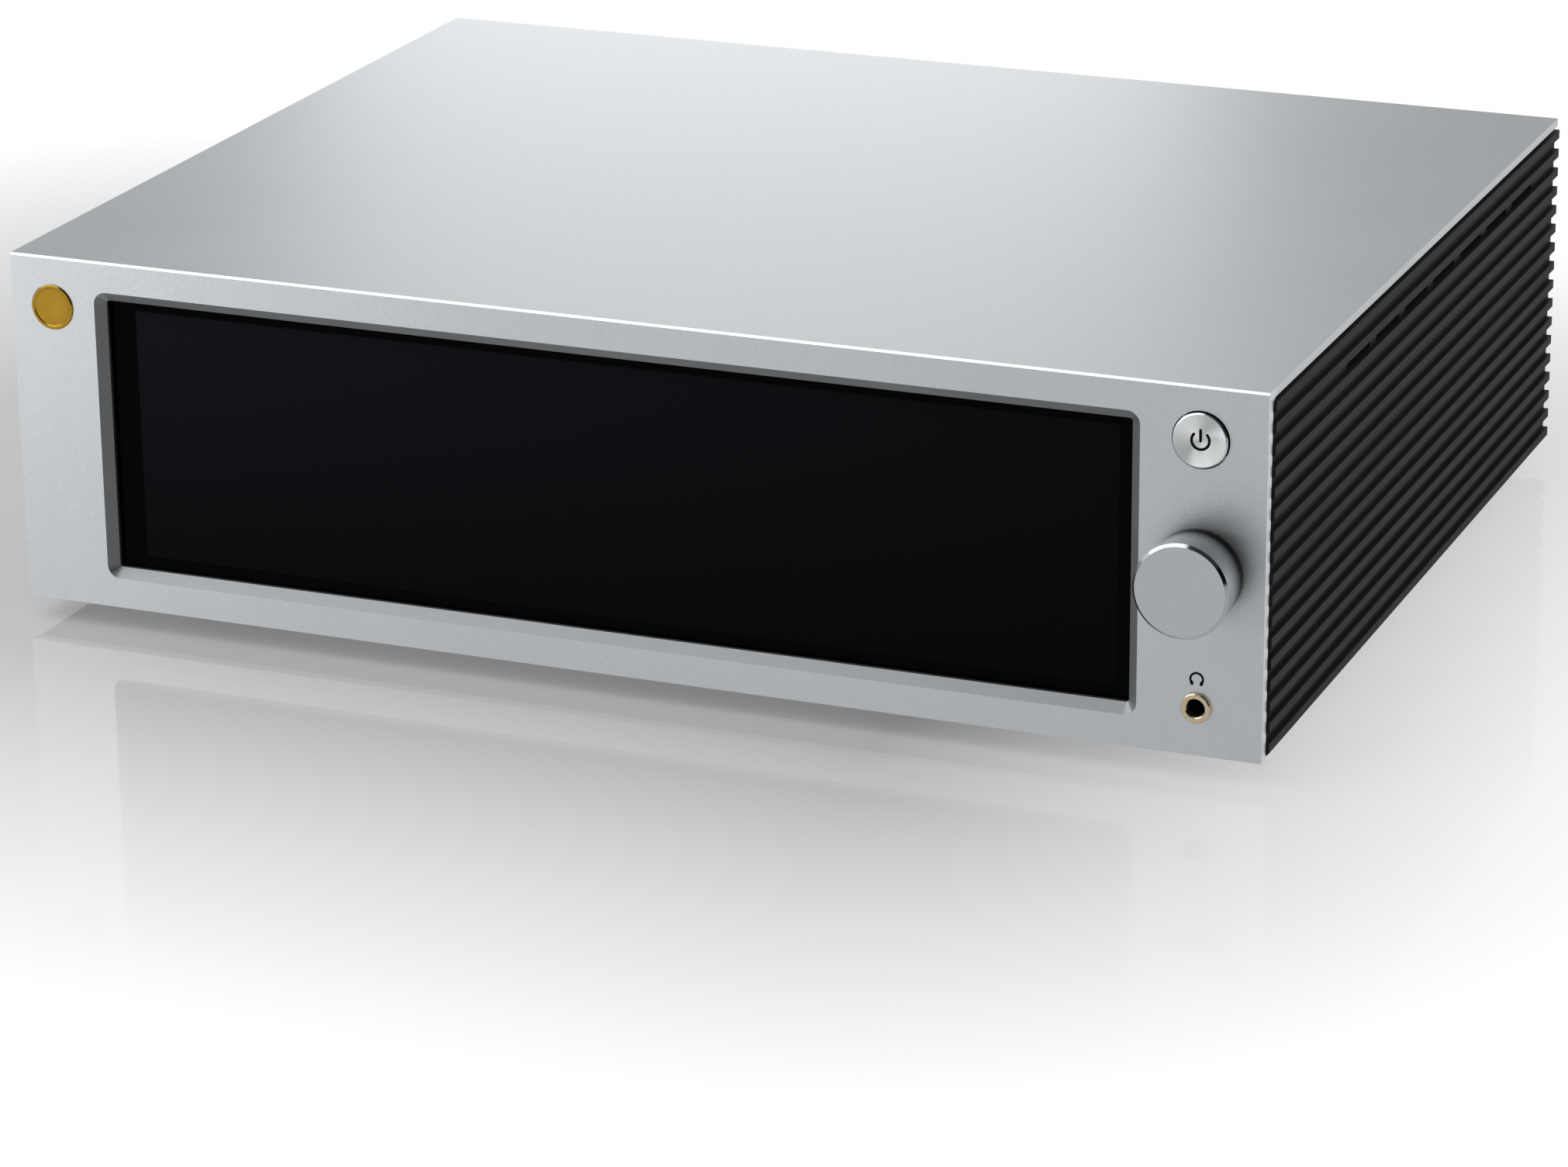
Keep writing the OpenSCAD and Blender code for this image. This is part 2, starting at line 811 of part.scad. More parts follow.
module phono_housing() {
    mid = (dac_x[0] + dac_x[1]) / 2;
    color([0.07, 0.07, 0.07])
        difference() {
            box(
                [mid - phono_block[0] / 2, rear_in_y - phono_block[2], board_top],
                [mid + phono_block[0] / 2, rear_in_y, board_top + phono_block[1]]
            );
            for (x = phono_xs)
                translate([x, 0, phono_z])
                    rod_y(rear_in_y - phono_seat, phono_seat + cut, phono_dia - phono_step + 2 * fit);
        }
}

phono_seat = 6;

// Sleeves that seat in the housing and step out to their full diameter behind the panel
module phono_sleeves() {
    root_y = rear_in_y - phono_seat;
    sleeve_len = rear_y - root_y + phono_len;
    color([0.83, 0.66, 0.3])
        for (x = phono_xs)
            translate([x, 0, phono_z])
                difference() {
                    union() {
                        rod_y(root_y, rear_y - root_y + fit, phono_dia - phono_step);
                        rod_y(rear_y, phono_len, phono_dia);
                    }
                    rod_y(root_y - cut, sleeve_len + 2 * cut, phono_dia - 2 * phono_wall);
                }
}

module phono_inserts() {
    len = phono_seat + rear_t + phono_len - gap;
    core_y = rear_y + phono_len - gap - phono_core_len;
    color([0.9, 0.9, 0.88])
        for (x = phono_xs)
            translate([x, 0, phono_z])
                difference() {
                    rod_y(rear_in_y - phono_seat, len, phono_dia - 2 * phono_wall - 2 * fit);
                    rod_y(core_y, phono_core_len + cut, phono_core);
                }
}

antenna_step = 0.6;
antenna_root = antenna_dia - antenna_step;
antenna_hex = 8;
antenna_hex_t = 2;
antenna_bore = 1.3;
antenna_bore_len = 5;

module antenna_sockets() {
    hex_d = antenna_hex / cos(30);
    color([0.83, 0.66, 0.3])
        for (x = antenna_xs)
            translate([x, 0, antenna_z])
                difference() {
                    union() {
                        rod_y(rear_in_y - fit, rear_t + antenna_hex_t + 2 * fit, antenna_root);
                        rod_y(rear_y + antenna_hex_t, antenna_len - antenna_hex_t, antenna_dia);
                        translate([0, rear_in_y - antenna_hex_t, 0])
                            rotate([-90, 0, 0])
                                cylinder(h = antenna_hex_t, d = hex_d, $fn = 6);
                    }
                    rod_y(rear_y + antenna_len - antenna_bore_len, antenna_bore_len + cut, antenna_bore);
                }
}

module antenna_nuts() {
    hex_d = antenna_hex / cos(30);
    color([0.83, 0.66, 0.3])
        for (x = antenna_xs)
            translate([x, 0, antenna_z])
                difference() {
                    translate([0, rear_y, 0])
                        rotate([-90, 0, 0])
                            cylinder(h = antenna_hex_t, d = hex_d, $fn = 6);
                    rod_y(rear_y - cut, antenna_hex_t + 2 * cut, antenna_root + 2 * fit);
                }
}

// Cord inlet with two line blades below and an earth blade above them
module mains_inlet() {
    chamfer = 4;
    corner = 3;
    blade = [2, 4];
    blade_short = 3;
    blade_len = inlet_depth - blade_short;
    mouth_y = rear_y + inlet_flange[2] - inlet_depth;
    color([0.06, 0.06, 0.06])
        difference() {
            translate([inlet_x, 0, inlet_z])
                union() {
                    slab_y(rear_y, inlet_flange[2])
                        round_rect(inlet_flange[0], inlet_flange[1], corner);
                    slab_y(rear_y + inlet_flange[2] - inlet_body[2], inlet_body[2])
                        square([inlet_body[0], inlet_body[1]], center = true);
                }
            translate([inlet_x, 0, inlet_z])
                slab_y(mouth_y, inlet_depth + cut)
                    polygon([
                        [-inlet_w / 2, -inlet_h / 2],
                        [inlet_w / 2, -inlet_h / 2],
                        [inlet_w / 2, inlet_h / 2 - chamfer],
                        [inlet_w / 2 - chamfer, inlet_h / 2],
                        [chamfer - inlet_w / 2, inlet_h / 2],
                        [-inlet_w / 2, inlet_h / 2 - chamfer],
                    ]);
            for (sx = [-1, 1])
                translate([inlet_x + sx * inlet_holes / 2, 0, inlet_z])
                    rod_y(rear_y - cut, inlet_flange[2] + 2 * cut, m3[0]);
        }
    color([0.8, 0.8, 0.78])
        translate([inlet_x, 0, inlet_z])
            for (p = [[-blade_x, -blade_z], [blade_x, -blade_z], [0, blade_z]])
                translate([p[0], 0, p[1]])
                    slab_y(mouth_y - fit, blade_len)
                        square(blade, center = true);
}

module inlet_screws() {
    color([0.6, 0.6, 0.62])
        for (sx = [-1, 1])
            translate([inlet_x + sx * inlet_holes / 2, rear_y + inlet_flange[2], inlet_z])
                rotate([90, 0, 0])
                    screw(m3, inlet_flange[2] + rear_t + inlet_screw_past);
}

// Display

module frame_outline(w, h, in_w, in_h) {
    difference() {
        square([w, h], center = true);
        square([in_w, in_h], center = true);
    }
}

module display_gasket() {
    color([0.05, 0.05, 0.05])
        translate([window_x, 0, window_z])
            slab_y(inside_y, gasket_t)
                frame_outline(glass_w, glass_h, window_w + 2 * gap, window_h + 2 * gap);
}

module display_glass() {
    color([0.03, 0.03, 0.04])
        translate([window_x, 0, window_z])
            slab_y(glass_y, glass_t)
                round_rect(glass_w, glass_h, glass_r);
}

module display_panel() {
    color([0.1, 0.1, 0.12])
        translate([window_x, 0, window_z])
            slab_y(lcd_y, lcd_t)
                square([glass_w - 2 * lcd_edge, glass_h - 2 * lcd_edge], center = true);
}

bracket_screw_in = 3;
driver_spots = [
    for (sx = [-1, 1], sz = [-1, 1])
        [sx * (driver_w / 2 - driver_inset), sz * (driver_h / 2 - driver_inset)]
];

// Pressed frame behind the display, with two windows and four posts for the driver board
module display_bracket() {
    open_w = (glass_w - driver_w) / 2 - 2 * bracket_web;
    open_h = glass_h - 2 * bracket_web;
    color([0.62, 0.63, 0.65])
        difference() {
            union() {
                box(
                    [window_x - glass_w / 2, bracket_y, bracket_low],
                    [window_x + glass_w / 2, bracket_y + bracket_t, bracket_top]
                );
                for (p = driver_spots)
                    translate([window_x + p[0], 0, window_z + p[1]])
                        rod_y(bracket_y + bracket_t - fit, driver_gap + fit, driver_post_dia);
            }
            for (sx = [-1, 1])
                translate([window_x + sx * ((driver_w + open_w) / 2 + bracket_web), 0, window_z])
                    slab_y(bracket_y - cut, bracket_t + 2 * cut)
                        round_rect(open_w, open_h, bracket_r);
            for (p = driver_spots)
                translate([window_x + p[0], 0, window_z + p[1]])
                    rod_y(bracket_y + bracket_t, driver_gap + cut, m2[0]);
            for (x = boss_xs, z = boss_zs)
                translate([window_x + x, 0, z])
                    rod_y(bracket_y - cut, bracket_t + 2 * cut, m2[0]);
        }
}

module display_bracket_screws() {
    color([0.6, 0.6, 0.62])
        for (x = boss_xs, z = boss_zs)
            translate([window_x + x, bracket_y + bracket_t, z])
                rotate([90, 0, 0])
                    screw(m2, bracket_t + bracket_screw_in - gap);
}

driver_y = bracket_y + bracket_t + driver_gap;

module display_driver_board() {
    color([0.05, 0.3, 0.18])
        difference() {
            translate([window_x, 0, window_z])
                slab_y(driver_y, board_t)
                    square([driver_w, driver_h], center = true);
            for (p = driver_spots)
                translate([window_x + p[0], 0, window_z + p[1]])
                    rod_y(driver_y - cut, board_t + 2 * cut, m2[0]);
        }
    color([0.08, 0.08, 0.08])
        for (x = driver_chip_xs)
            translate([window_x + x, 0, window_z])
                slab_y(driver_y + board_t - fit, driver_chip[2] + fit)
                    square([driver_chip[0], driver_chip[1]], center = true);
}

// Controls

cap_face_y = front_y - button_proud;
cap_chamfer = 0.3;
flange_y = inside_y + gap;
plunger_y = flange_y + flange_t;
switch_y = board_front_y - switch_t;

module power_button() {
    cap_len = flange_y + flange_t - cap_face_y;
    dish_r = (pow(button_dia / 2 - dish_rim, 2) + pow(dish_depth, 2)) / (2 * dish_depth);
    color([0.78, 0.79, 0.8])
        translate([column_x, 0, button_axis])
            difference() {
                translate([0, flange_y + flange_t, 0])
                    rotate([90, 0, 0])
                        rotate_extrude($fn = 96)
                            polygon([
                                [0, 0],
                                [flange_dia / 2, 0],
                                [flange_dia / 2, flange_t],
                                [button_dia / 2, flange_t],
                                [button_dia / 2, cap_len - cap_chamfer],
                                [button_dia / 2 - cap_chamfer, cap_len],
                                [0, cap_len],
                            ]);
                translate([0, cap_face_y + dish_depth - dish_r, 0])
                    sphere(r = dish_r, $fn = 96);
            }
}

module power_button_guide() {
    color([0.1, 0.1, 0.1])
        translate([column_x, 0, button_axis])
            tube_y(inside_y, encoder_depth - gap, guide_bore + 2 * guide_wall, guide_bore);
}

module power_switch() {
    color([0.15, 0.15, 0.15])
        translate([column_x, 0, button_axis])
            difference() {
                slab_y(switch_y, switch_t)
                    square(switch_side, center = true);
                rod_y(switch_y - cut, cut + plunger_in + button_travel + gap, plunger_dia + 4 * fit);
            }
}

module switch_plunger() {
    color([0.85, 0.85, 0.83])
        translate([column_x, 0, button_axis])
            rod_y(plunger_y, switch_y + plunger_in - plunger_y, plunger_dia);
}

knob_front_y = front_y - knob_proud;
knob_back_y = front_y - knob_gap;
knob_wall = 1.5;
knob_hollow = knob_root_dia - 2 * knob_wall;
knob_skin = 2.4;
knob_web = 2;
knob_boss_wall = 1.5;
shaft_end_y = knob_front_y + knob_skin;
shaft_flat = 0.8;

module shaft_outline(extra) {
    difference() {
        circle(d = shaft_dia + 2 * extra);
        translate([-shaft_dia, shaft_dia / 2 - shaft_flat + extra])
            square([2 * shaft_dia, shaft_dia]);
    }
}

// Turned cup, a little wider at its chamfered face, with a boss that takes the flatted shaft
module volume_knob() {
    boss = shaft_dia + 2 * knob_boss_wall;
    web_z = knob_proud - knob_gap - knob_skin - knob_web;
    boss_z = bushing_len - front_t + 2 * gap;
    color([0.72, 0.74, 0.75])
        translate([column_x, 0, knob_axis])
            difference() {
                translate([0, knob_back_y, 0])
                    rotate([90, 0, 0])
                        rotate_extrude($fn = 96)
                            polygon([
                                [0, knob_proud - knob_gap],
                                [knob_dia / 2 - knob_chamfer, knob_proud - knob_gap],
                                [knob_dia / 2, knob_proud - knob_gap - knob_chamfer],
                                [knob_root_dia / 2, 0],
                                [knob_hollow / 2, 0],
                                [knob_hollow / 2, web_z],
                                [boss / 2, web_z],
                                [boss / 2, boss_z],
                                [0, boss_z],
                            ]);
                slab_y(shaft_end_y - fit, knob_proud)
                    shaft_outline(fit);
            }
}

module encoder_shaft() {
    round_y = inside_y - bushing_len;
    color([0.7, 0.7, 0.72])
        translate([column_x, 0, knob_axis]) {
            slab_y(shaft_end_y, round_y - shaft_end_y)
                shaft_outline(0);
            rod_y(round_y - fit, inside_y + encoder_depth - encoder_cap - gap - round_y + fit, shaft_dia);
        }
}

module encoder_body() {
    color([0.35, 0.36, 0.38])
        translate([column_x, 0, knob_axis])
            difference() {
                union() {
                    slab_y(inside_y, encoder_depth)
                        square(encoder_side, center = true);
                    rod_y(inside_y - bushing_len, bushing_len + fit, bushing_dia);
                }
                rod_y(
                    inside_y - bushing_len - cut,
                    bushing_len + encoder_depth - encoder_cap + cut,
                    shaft_dia + 2 * fit
                );
            }
}

module encoder_nut() {
    color([0.75, 0.75, 0.76])
        translate([column_x, 0, knob_axis])
            difference() {
                translate([0, front_y - nut_t, 0])
                    rotate([-90, 0, 0])
                        cylinder(h = nut_t, d = nut_side / cos(30), $fn = 6);
                rod_y(front_y - nut_t - cut, nut_t + 2 * cut, bushing_dia + 2 * fit);
            }
}

control_w = 19;
control_trim = 3;
control_above = 7;
control_post = 12;
control_post_dia = 4.5;
control_low = low_z + control_trim;
control_high = button_axis + control_above;
control_spots = [knob_axis + control_post, jack_axis + control_post];

module control_board() {
    jack_slot = [jack_body_w + 2 * jack_slot_gap, jack_body_h + 2 * jack_slot_gap];
    color([0.05, 0.3, 0.18])
        difference() {
            box(
                [column_x - control_w / 2, board_front_y, control_low],
                [
                    column_x + control_w / 2 - control_trim,
                    board_front_y + board_t,
                    control_high,
                ]
            );
            translate([column_x, 0, jack_axis])
                slab_y(board_front_y - cut, board_t + 2 * cut)
                    square(jack_slot, center = true);
            for (z = control_spots)
                translate([column_x, 0, z])
                    rod_y(board_front_y - cut, board_t + 2 * cut, m2[0]);
        }
}

module control_board_standoffs() {
    color([0.7, 0.6, 0.35])
        for (z = control_spots)
            translate([column_x, 0, z])
                tube_y(inside_y, encoder_depth, control_post_dia, m2[0]);
}

module control_board_screws() {
    color([0.6, 0.6, 0.62])
        for (z = control_spots)
            translate([column_x, board_front_y + board_t, z])
                rotate([90, 0, 0])
                    screw(m2, board_t + encoder_depth - blind);
}

module headphone_jack() {
    color([0.08, 0.08, 0.08])
        translate([column_x, 0, jack_axis])
            difference() {
                union() {
                    rod_y(front_y, front_t + fit, jack_barrel);
                    slab_y(inside_y, jack_depth - front_t + jack_cap)
                        square([jack_body_w, jack_body_h], center = true);
                }
                rod_y(front_y - cut, jack_depth + cut, jack_bore);
            }
}

// Turned ring with a flat face and two small chamfers, seated on the front plate
module headphone_ring() {
    mouth = jack_bore / 2 + 2 * fit;
    soft = 0.2;
    color([0.75, 0.67, 0.5])
        translate([column_x, front_y, jack_axis])
            rotate([90, 0, 0])
                rotate_extrude()
                    polygon([
                        [mouth, 0],
                        [jack_ring_dia / 2, 0],
                        [jack_ring_dia / 2, jack_ring_proud - soft],
                        [jack_ring_dia / 2 - soft, jack_ring_proud],
                        [mouth + soft, jack_ring_proud],
                        [mouth, jack_ring_proud - soft],
                    ]);
}

// Boards inside

function corners(x) = [
    for (px = [x[0] + board_edge, x[1] - board_edge])
        for (py = [board_fore + board_edge, board_back - board_hole_back])
            [px, py]
];
standoff_spots = concat(corners(supply_x), corners(main_x), corners(dac_x));

module board(x) {
    color([0.05, 0.3, 0.18])
        difference() {
            box([x[0], board_fore, board_z], [x[1], board_back, board_top]);
            for (p = corners(x))
                translate([p[0], p[1], board_z - cut])
                    cylinder(h = board_t + 2 * cut, d = m3[0]);
        }
}

module main_board() {
    board(main_x);
}

module dac_board() {
    board(dac_x);
}

module power_supply_board() {
    board(supply_x);
}

// Standoffs with a spigot pressed in the base and a tapped bore
module board_standoffs() {
    color([0.7, 0.6, 0.35])
        for (p = standoff_spots)
            translate([p[0], p[1], floor_z])
                difference() {
                    union() {
                        cylinder(h = standoff_h, d = standoff_dia);
                        translate([0, 0, -base_t])
                            cylinder(h = base_t + fit, d = m3[0] - 2 * fit);
                    }
                    translate([0, 0, standoff_floor])
                        cylinder(h = standoff_h, d = m25[0]);
                }
}

module board_screws() {
    color([0.6, 0.6, 0.62])
        for (p = standoff_spots)
            translate([p[0], p[1], board_top])
                rotate([180, 0, 0])
                    screw(m25, board_t + standoff_h - board_screw_tip);
}

chip_side = 27;
chip_t = 2;
chip_shift = 12;
chip_spot = [(main_x[0] + main_x[1]) / 2 - chip_shift, (board_fore + board_back) / 2 - chip_shift];

module processor() {
    color([0.08, 0.08, 0.08])
        translate([chip_spot[0] - chip_side / 2, chip_spot[1] - chip_side / 2, board_top])
            cube([chip_side, chip_side, chip_t]);
}

module processor_heatsink() {
    side = 42;
    foot_t = 3;
    fin_t = 1.2;
    fin_h = 14;
    fins = 9;
    color([0.2, 0.2, 0.21])
        translate([chip_spot[0] - side / 2, chip_spot[1] - side / 2, board_top + chip_t]) {
            cube([side, side, foot_t]);
            for (i = [0:fins - 1])
                translate([i * (side - fin_t) / (fins - 1), 0, foot_t - fit])
                    cube([fin_t, side, fin_h]);
        }
}

wireless = [18, 22, 2.6];
wireless_in = [8, 60];

module wireless_module() {
    color([0.76, 0.77, 0.78])
        translate([main_x[0] + wireless_in[0], board_back - wireless_in[1], board_top])
            cube(wireless);
}

// Cans, each with a shallow round recess in its end: diameter, height, recess diameter, depth
audio_can = [10, 14, 7, 0.4];
audio_can_in = [16, 40];
audio_can_pitch = [22, 15];
relay = [10, 15, 11];
relay_in = [12, 48];
relay_pitch = 20;
supply_can = [22, 32, 17, 0.8];
supply_can_pitch = 26;
supply_can_in = 24;

module can(size) {
    difference() {
        cylinder(h = size[1], d = size[0]);
        translate([0, 0, size[1] - size[3]])
            cylinder(h = cut, d = size[2]);
    }
}

module audio_capacitors() {
    color([0.1, 0.12, 0.25])
        for (i = [0:1], j = [0:3])
            translate([
                dac_x[0] + audio_can_in[0] + audio_can_pitch[0] * i,
                board_fore + audio_can_in[1] + audio_can_pitch[1] * j,
                board_top,
            ])
                can(audio_can);
}

module output_relays() {
    color([0.9, 0.75, 0.2])
        for (i = [0:1])
            translate([dac_x[0] + relay_in[0] + relay_pitch * i, board_back - relay_in[1], board_top])
                cube(relay);
}

supply_mid = (supply_x[0] + supply_x[1]) / 2;

// Laminated core with its winding between the outer limbs
module supply_transformer() {
    core = [40, 34, 30];
    limb = 7;
    winding_out = 5;
    translate([supply_mid - core[0] / 2, (board_fore + board_back) / 2 - core[1] / 2, board_top]) {
        color([0.35, 0.35, 0.36])
            difference() {
                cube(core);
                for (x = [limb, core[0] / 2 + limb / 2])
                    translate([x, -cut, limb])
                        cube([core[0] / 2 - 1.5 * limb, core[1] + 2 * cut, core[2] - 2 * limb]);
            }
        color([0.85, 0.7, 0.15])
            difference() {
                translate([limb + gap, -winding_out, limb + gap])
                    cube([
                        core[0] - 2 * limb - 2 * gap,
                        core[1] + 2 * winding_out,
                        core[2] - 2 * limb - 2 * gap,
                    ]);
                translate([core[0] / 2 - limb / 2, 0, 0])
                    cube([limb, core[1], core[2]]);
            }
    }
}

module supply_capacitors() {
    color([0.12, 0.12, 0.14])
        for (sx = [-1, 1])
            translate([supply_mid + sx * supply_can_pitch / 2, board_fore + supply_can_in, board_top])
                can(supply_can);
}

module supply_heatsink() {
    back = [44, 3, 26];
    fin = [1.5, 9];
    fins = 6;
    behind = 52;
    color([0.2, 0.2, 0.21])
        translate([supply_mid - back[0] / 2, board_back - behind, board_top]) {
            cube(back);
            for (i = [0:fins - 1])
                translate([i * (back[0] - fin[0]) / (fins - 1), back[1] - fit, 0])
                    cube([fin[0], fin[1], back[2]]);
        }
}

// Cables: tubes swept along a route of hand-set points

function unit(v) = v / norm(v);
function along(p, i) = unit(p[min(i + 1, len(p) - 1)] - p[max(i - 1, 0)]);
function across(t) = unit(cross(t, abs(t[2]) > 0.9 ? [1, 0, 0] : [0, 0, 1]));

// Quarter-round each inner corner of a route with short chords
function eased(p, r) = concat(
    [p[0]],
    [
        for (i = [1:len(p) - 2])
            let (a = unit(p[i - 1] - p[i]), b = unit(p[i + 1] - p[i]))
                for (t = [0:0.25:1])
                    p[i] + a * r * pow(1 - t, 2) + b * r * pow(t, 2)
    ],
    [p[len(p) - 1]]
);

module swept(p, dia, sides) {
    n = len(p);
    rings = [
        for (i = [0:n - 1])
            let (t = along(p, i), u = across(t), v = cross(u, t))
                for (k = [0:sides - 1])
                    p[i] + dia / 2 * (u * cos(360 * k / sides) + v * sin(360 * k / sides))
    ];
    walls = [
        for (i = [0:n - 2], k = [0:sides - 1])
            let (k2 = (k + 1) % sides)
                each [
                    [i * sides + k, i * sides + k2, (i + 1) * sides + k2],
                    [i * sides + k, (i + 1) * sides + k2, (i + 1) * sides + k],
                ]
    ];
    ends = [
        [for (k = [sides - 1:-1:0]) k],
        [for (k = [0:sides - 1]) (n - 1) * sides + k],
    ];
    polyhedron(points = rings, faces = concat(ends, walls));
}

// Flat ribbon bent from the driver board down to the main board
module ribbon(x, w, path, t) {
    translate([x - w / 2, 0, 0])
        rotate([90, 0, 90])
            linear_extrude(height = w)
                for (i = [0:len(path) - 2])
                    polygon([
                        path[i], path[i + 1],
                        path[i + 1] + [t, t],
                        path[i] + [t, t],
                    ]);
}

ribbon_t = 0.3;
ribbon_out = 8;
ribbon_land = 10;
ribbon_bend = 4;

// A ribbon's route in y and z: out from its board, down, and on to the board below
function ribbon_route(y, z) = [
    [y, z],
    [y + ribbon_out, z - ribbon_bend],
    [board_fore + ribbon_land - ribbon_bend, board_top + ribbon_out],
    [board_fore + ribbon_land, board_top],
];

module display_cable() {
    wide = 12;
    side_gap = 6;
    drop = 6;
    color([0.85, 0.85, 0.82])
        ribbon(
            window_x + driver_w / 2 - wide - side_gap,
            wide,
            ribbon_route(driver_y + board_t, window_z - drop),
            ribbon_t
        );
}

module control_cable() {
    side = 5;
    wide = 8;
    drop = 6;
    color([0.85, 0.85, 0.82])
        ribbon(column_x - side, wide, ribbon_route(board_front_y + board_t, knob_axis - drop), ribbon_t);
}

module mains_leads() {
    start_y = rear_y + inlet_flange[2] - inlet_body[2];
    bend_y = start_y - 10;
    bend = 4;
    wire = 2.4;
    sides = 8;
    color([0.35, 0.2, 0.1])
        for (x = [inlet_x - blade_x, inlet_x + blade_x])
            swept(
                eased([[x, start_y, inlet_z], [x, bend_y, inlet_z], [x, bend_y, board_top]], bend),
                wire, sides
            );
}

casing_shell();
side_heatsink_left();
side_heatsink_right();
base_plate();
rear_panel();
badge();
display_gasket();
display_glass();
display_panel();
display_bracket();
display_bracket_screws();
display_driver_board();
power_button();
power_button_guide();
power_switch();
switch_plunger();
volume_knob();
encoder_shaft();
encoder_body();
encoder_nut();
control_board();
control_board_standoffs();
control_board_screws();
headphone_jack();
headphone_ring();
main_board();
dac_board();
power_supply_board();
board_standoffs();
board_screws();
processor();
processor_heatsink();
wireless_module();
audio_capacitors();
output_relays();
supply_transformer();
supply_capacitors();
supply_heatsink();
mains_inlet();
inlet_screws();
phono_housing();
phono_sleeves();
phono_inserts();
optical_sockets();
ethernet_socket();
usb_sockets();
hdmi_socket();
usb_c_socket();
antenna_sockets();
antenna_nuts();
rear_screws();
base_screws();
cover_screws();
feet();
foot_pads();
foot_screws();
display_cable();
control_cable();
mains_leads();
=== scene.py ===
"""Finishes, small pieces and stage of a half-width network music streamer."""

import math

import bpy
from mathutils import Matrix, Vector


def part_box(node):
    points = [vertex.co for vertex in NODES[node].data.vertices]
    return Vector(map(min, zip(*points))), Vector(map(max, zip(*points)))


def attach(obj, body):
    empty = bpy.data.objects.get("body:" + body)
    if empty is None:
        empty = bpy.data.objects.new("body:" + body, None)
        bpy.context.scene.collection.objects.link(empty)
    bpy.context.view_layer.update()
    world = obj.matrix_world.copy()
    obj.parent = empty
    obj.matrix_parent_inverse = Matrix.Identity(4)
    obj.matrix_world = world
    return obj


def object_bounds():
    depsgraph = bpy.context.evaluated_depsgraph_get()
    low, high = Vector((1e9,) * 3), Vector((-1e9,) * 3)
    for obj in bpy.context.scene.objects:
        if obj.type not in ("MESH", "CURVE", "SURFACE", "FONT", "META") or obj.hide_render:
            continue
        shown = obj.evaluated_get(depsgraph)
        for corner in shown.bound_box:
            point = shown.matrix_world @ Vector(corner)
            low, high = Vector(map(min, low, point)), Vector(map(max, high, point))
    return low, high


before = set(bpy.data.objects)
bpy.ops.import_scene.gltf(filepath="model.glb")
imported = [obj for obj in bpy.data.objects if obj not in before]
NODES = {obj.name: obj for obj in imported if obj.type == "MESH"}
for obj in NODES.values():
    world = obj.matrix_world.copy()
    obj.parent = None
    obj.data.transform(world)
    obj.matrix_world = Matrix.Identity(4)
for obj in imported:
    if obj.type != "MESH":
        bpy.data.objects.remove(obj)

CAD_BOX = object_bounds()
MM = 0.001

# A normal's part along an axis: over FLAT the face looks along that axis, under WALL it is a wall
# beside it, and a chamfer has at least SLANT of both of its axes
FLAT, WALL, SLANT = 0.95, 0.3, 0.2
# An edge's part along an axis, where the edge runs along that axis or across it
ALONG, ACROSS = 0.9, 0.1
# Most values of a noise pattern lie between these
NOISE_LOW, NOISE_HIGH = 0.3, 0.7
# Tone of a dark speck in a finish, as a share of its colour
SPECK = 0.4
SMOOTH_ANGLE = math.radians(35)
MERGE_DISTANCE = 0.002 * MM
# Sockets of a Mix node, whose names repeat for colours and for numbers
COLOUR_A, COLOUR_B, COLOUR_OUT = 6, 7, 2
NUMBER_A, NUMBER_B, NUMBER_OUT = 2, 3, 0

# Tongues in the rear sockets, in mm: how far they start behind the socket's inner end, half their
# width and height, and how high each lies over the socket's middle
TONGUES = {
    "usb_sockets": (4.05, 5.65, 0.95, (4.7, -3.1)),
    "hdmi_socket": (2.05, 5.3, 0.55, (0.0,)),
    "usb_c_socket": (1.55, 3.35, 0.4, (0.0,)),
}
# Contacts in the rear sockets: piece and socket, size and edge rounding of one contact in mm, its
# lean in degrees, its middle behind the socket's mouth in mm, and its x and z from the middle
CONTACTS = (
    (
        "ethernet_contacts", "ethernet_socket", (0.45, 8.6, 0.25), 0.1, -28.0, 7.6,
        [((i - 3.5) * 1.02, 1.6) for i in range(8)],
    ),
    (
        "usb_contacts", "usb_sockets", (1.0, 8.0, 0.12), 0.03, 0.0, 6.6,
        [(x, up - 0.95) for up in (4.7, -3.1) for x in (-3.5, -1.0, 1.0, 3.5)],
    ),
    (
        "hdmi_contacts", "hdmi_socket", (0.45, 6.0, 0.08), 0.02, 0.0, 4.6,
        [(i - 4.5, side * 0.52) for side in (-1, 1) for i in range(10)],
    ),
)
# Chips on the boards: place x and y, width, depth and height, in mm
CHIPS = (
    (34.0, 20.0, 12.0, 12.0, 1.4), (48.0, 44.0, 8.0, 8.0, 1.0), (30.0, 58.0, 6.0, 9.0, 1.2),
    (-41.0, 12.0, 7.0, 7.0, 1.0), (46.0, -8.0, 9.0, 6.0, 1.6), (-8.0, -22.0, 10.0, 10.0, 1.2),
    (2.0, 72.0, 7.0, 7.0, 1.0), (-40.0, -18.0, 5.0, 7.0, 1.4), (92.0, -24.0, 12.0, 12.0, 1.4),
    (116.0, 30.0, 5.0, 6.5, 1.5), (116.0, 66.0, 5.0, 6.5, 1.5), (93.0, 86.0, 7.0, 5.0, 1.2),
)

# Lamps: name, place and target in metres, edge length in metres and power in watts
LAMPS = (
    ("overhead", (-0.80, -0.42, 1.15), (0.0, 0.0, 0.04), 1.35, 9.5),
    ("behind", (-0.27, 0.62, 0.20), (0.0, 0.0, 0.08), 0.32, 0.46),
    ("left", (-0.84, -0.93, 0.17), (0.0, -0.11, 0.05), 0.28, 2.6),
)
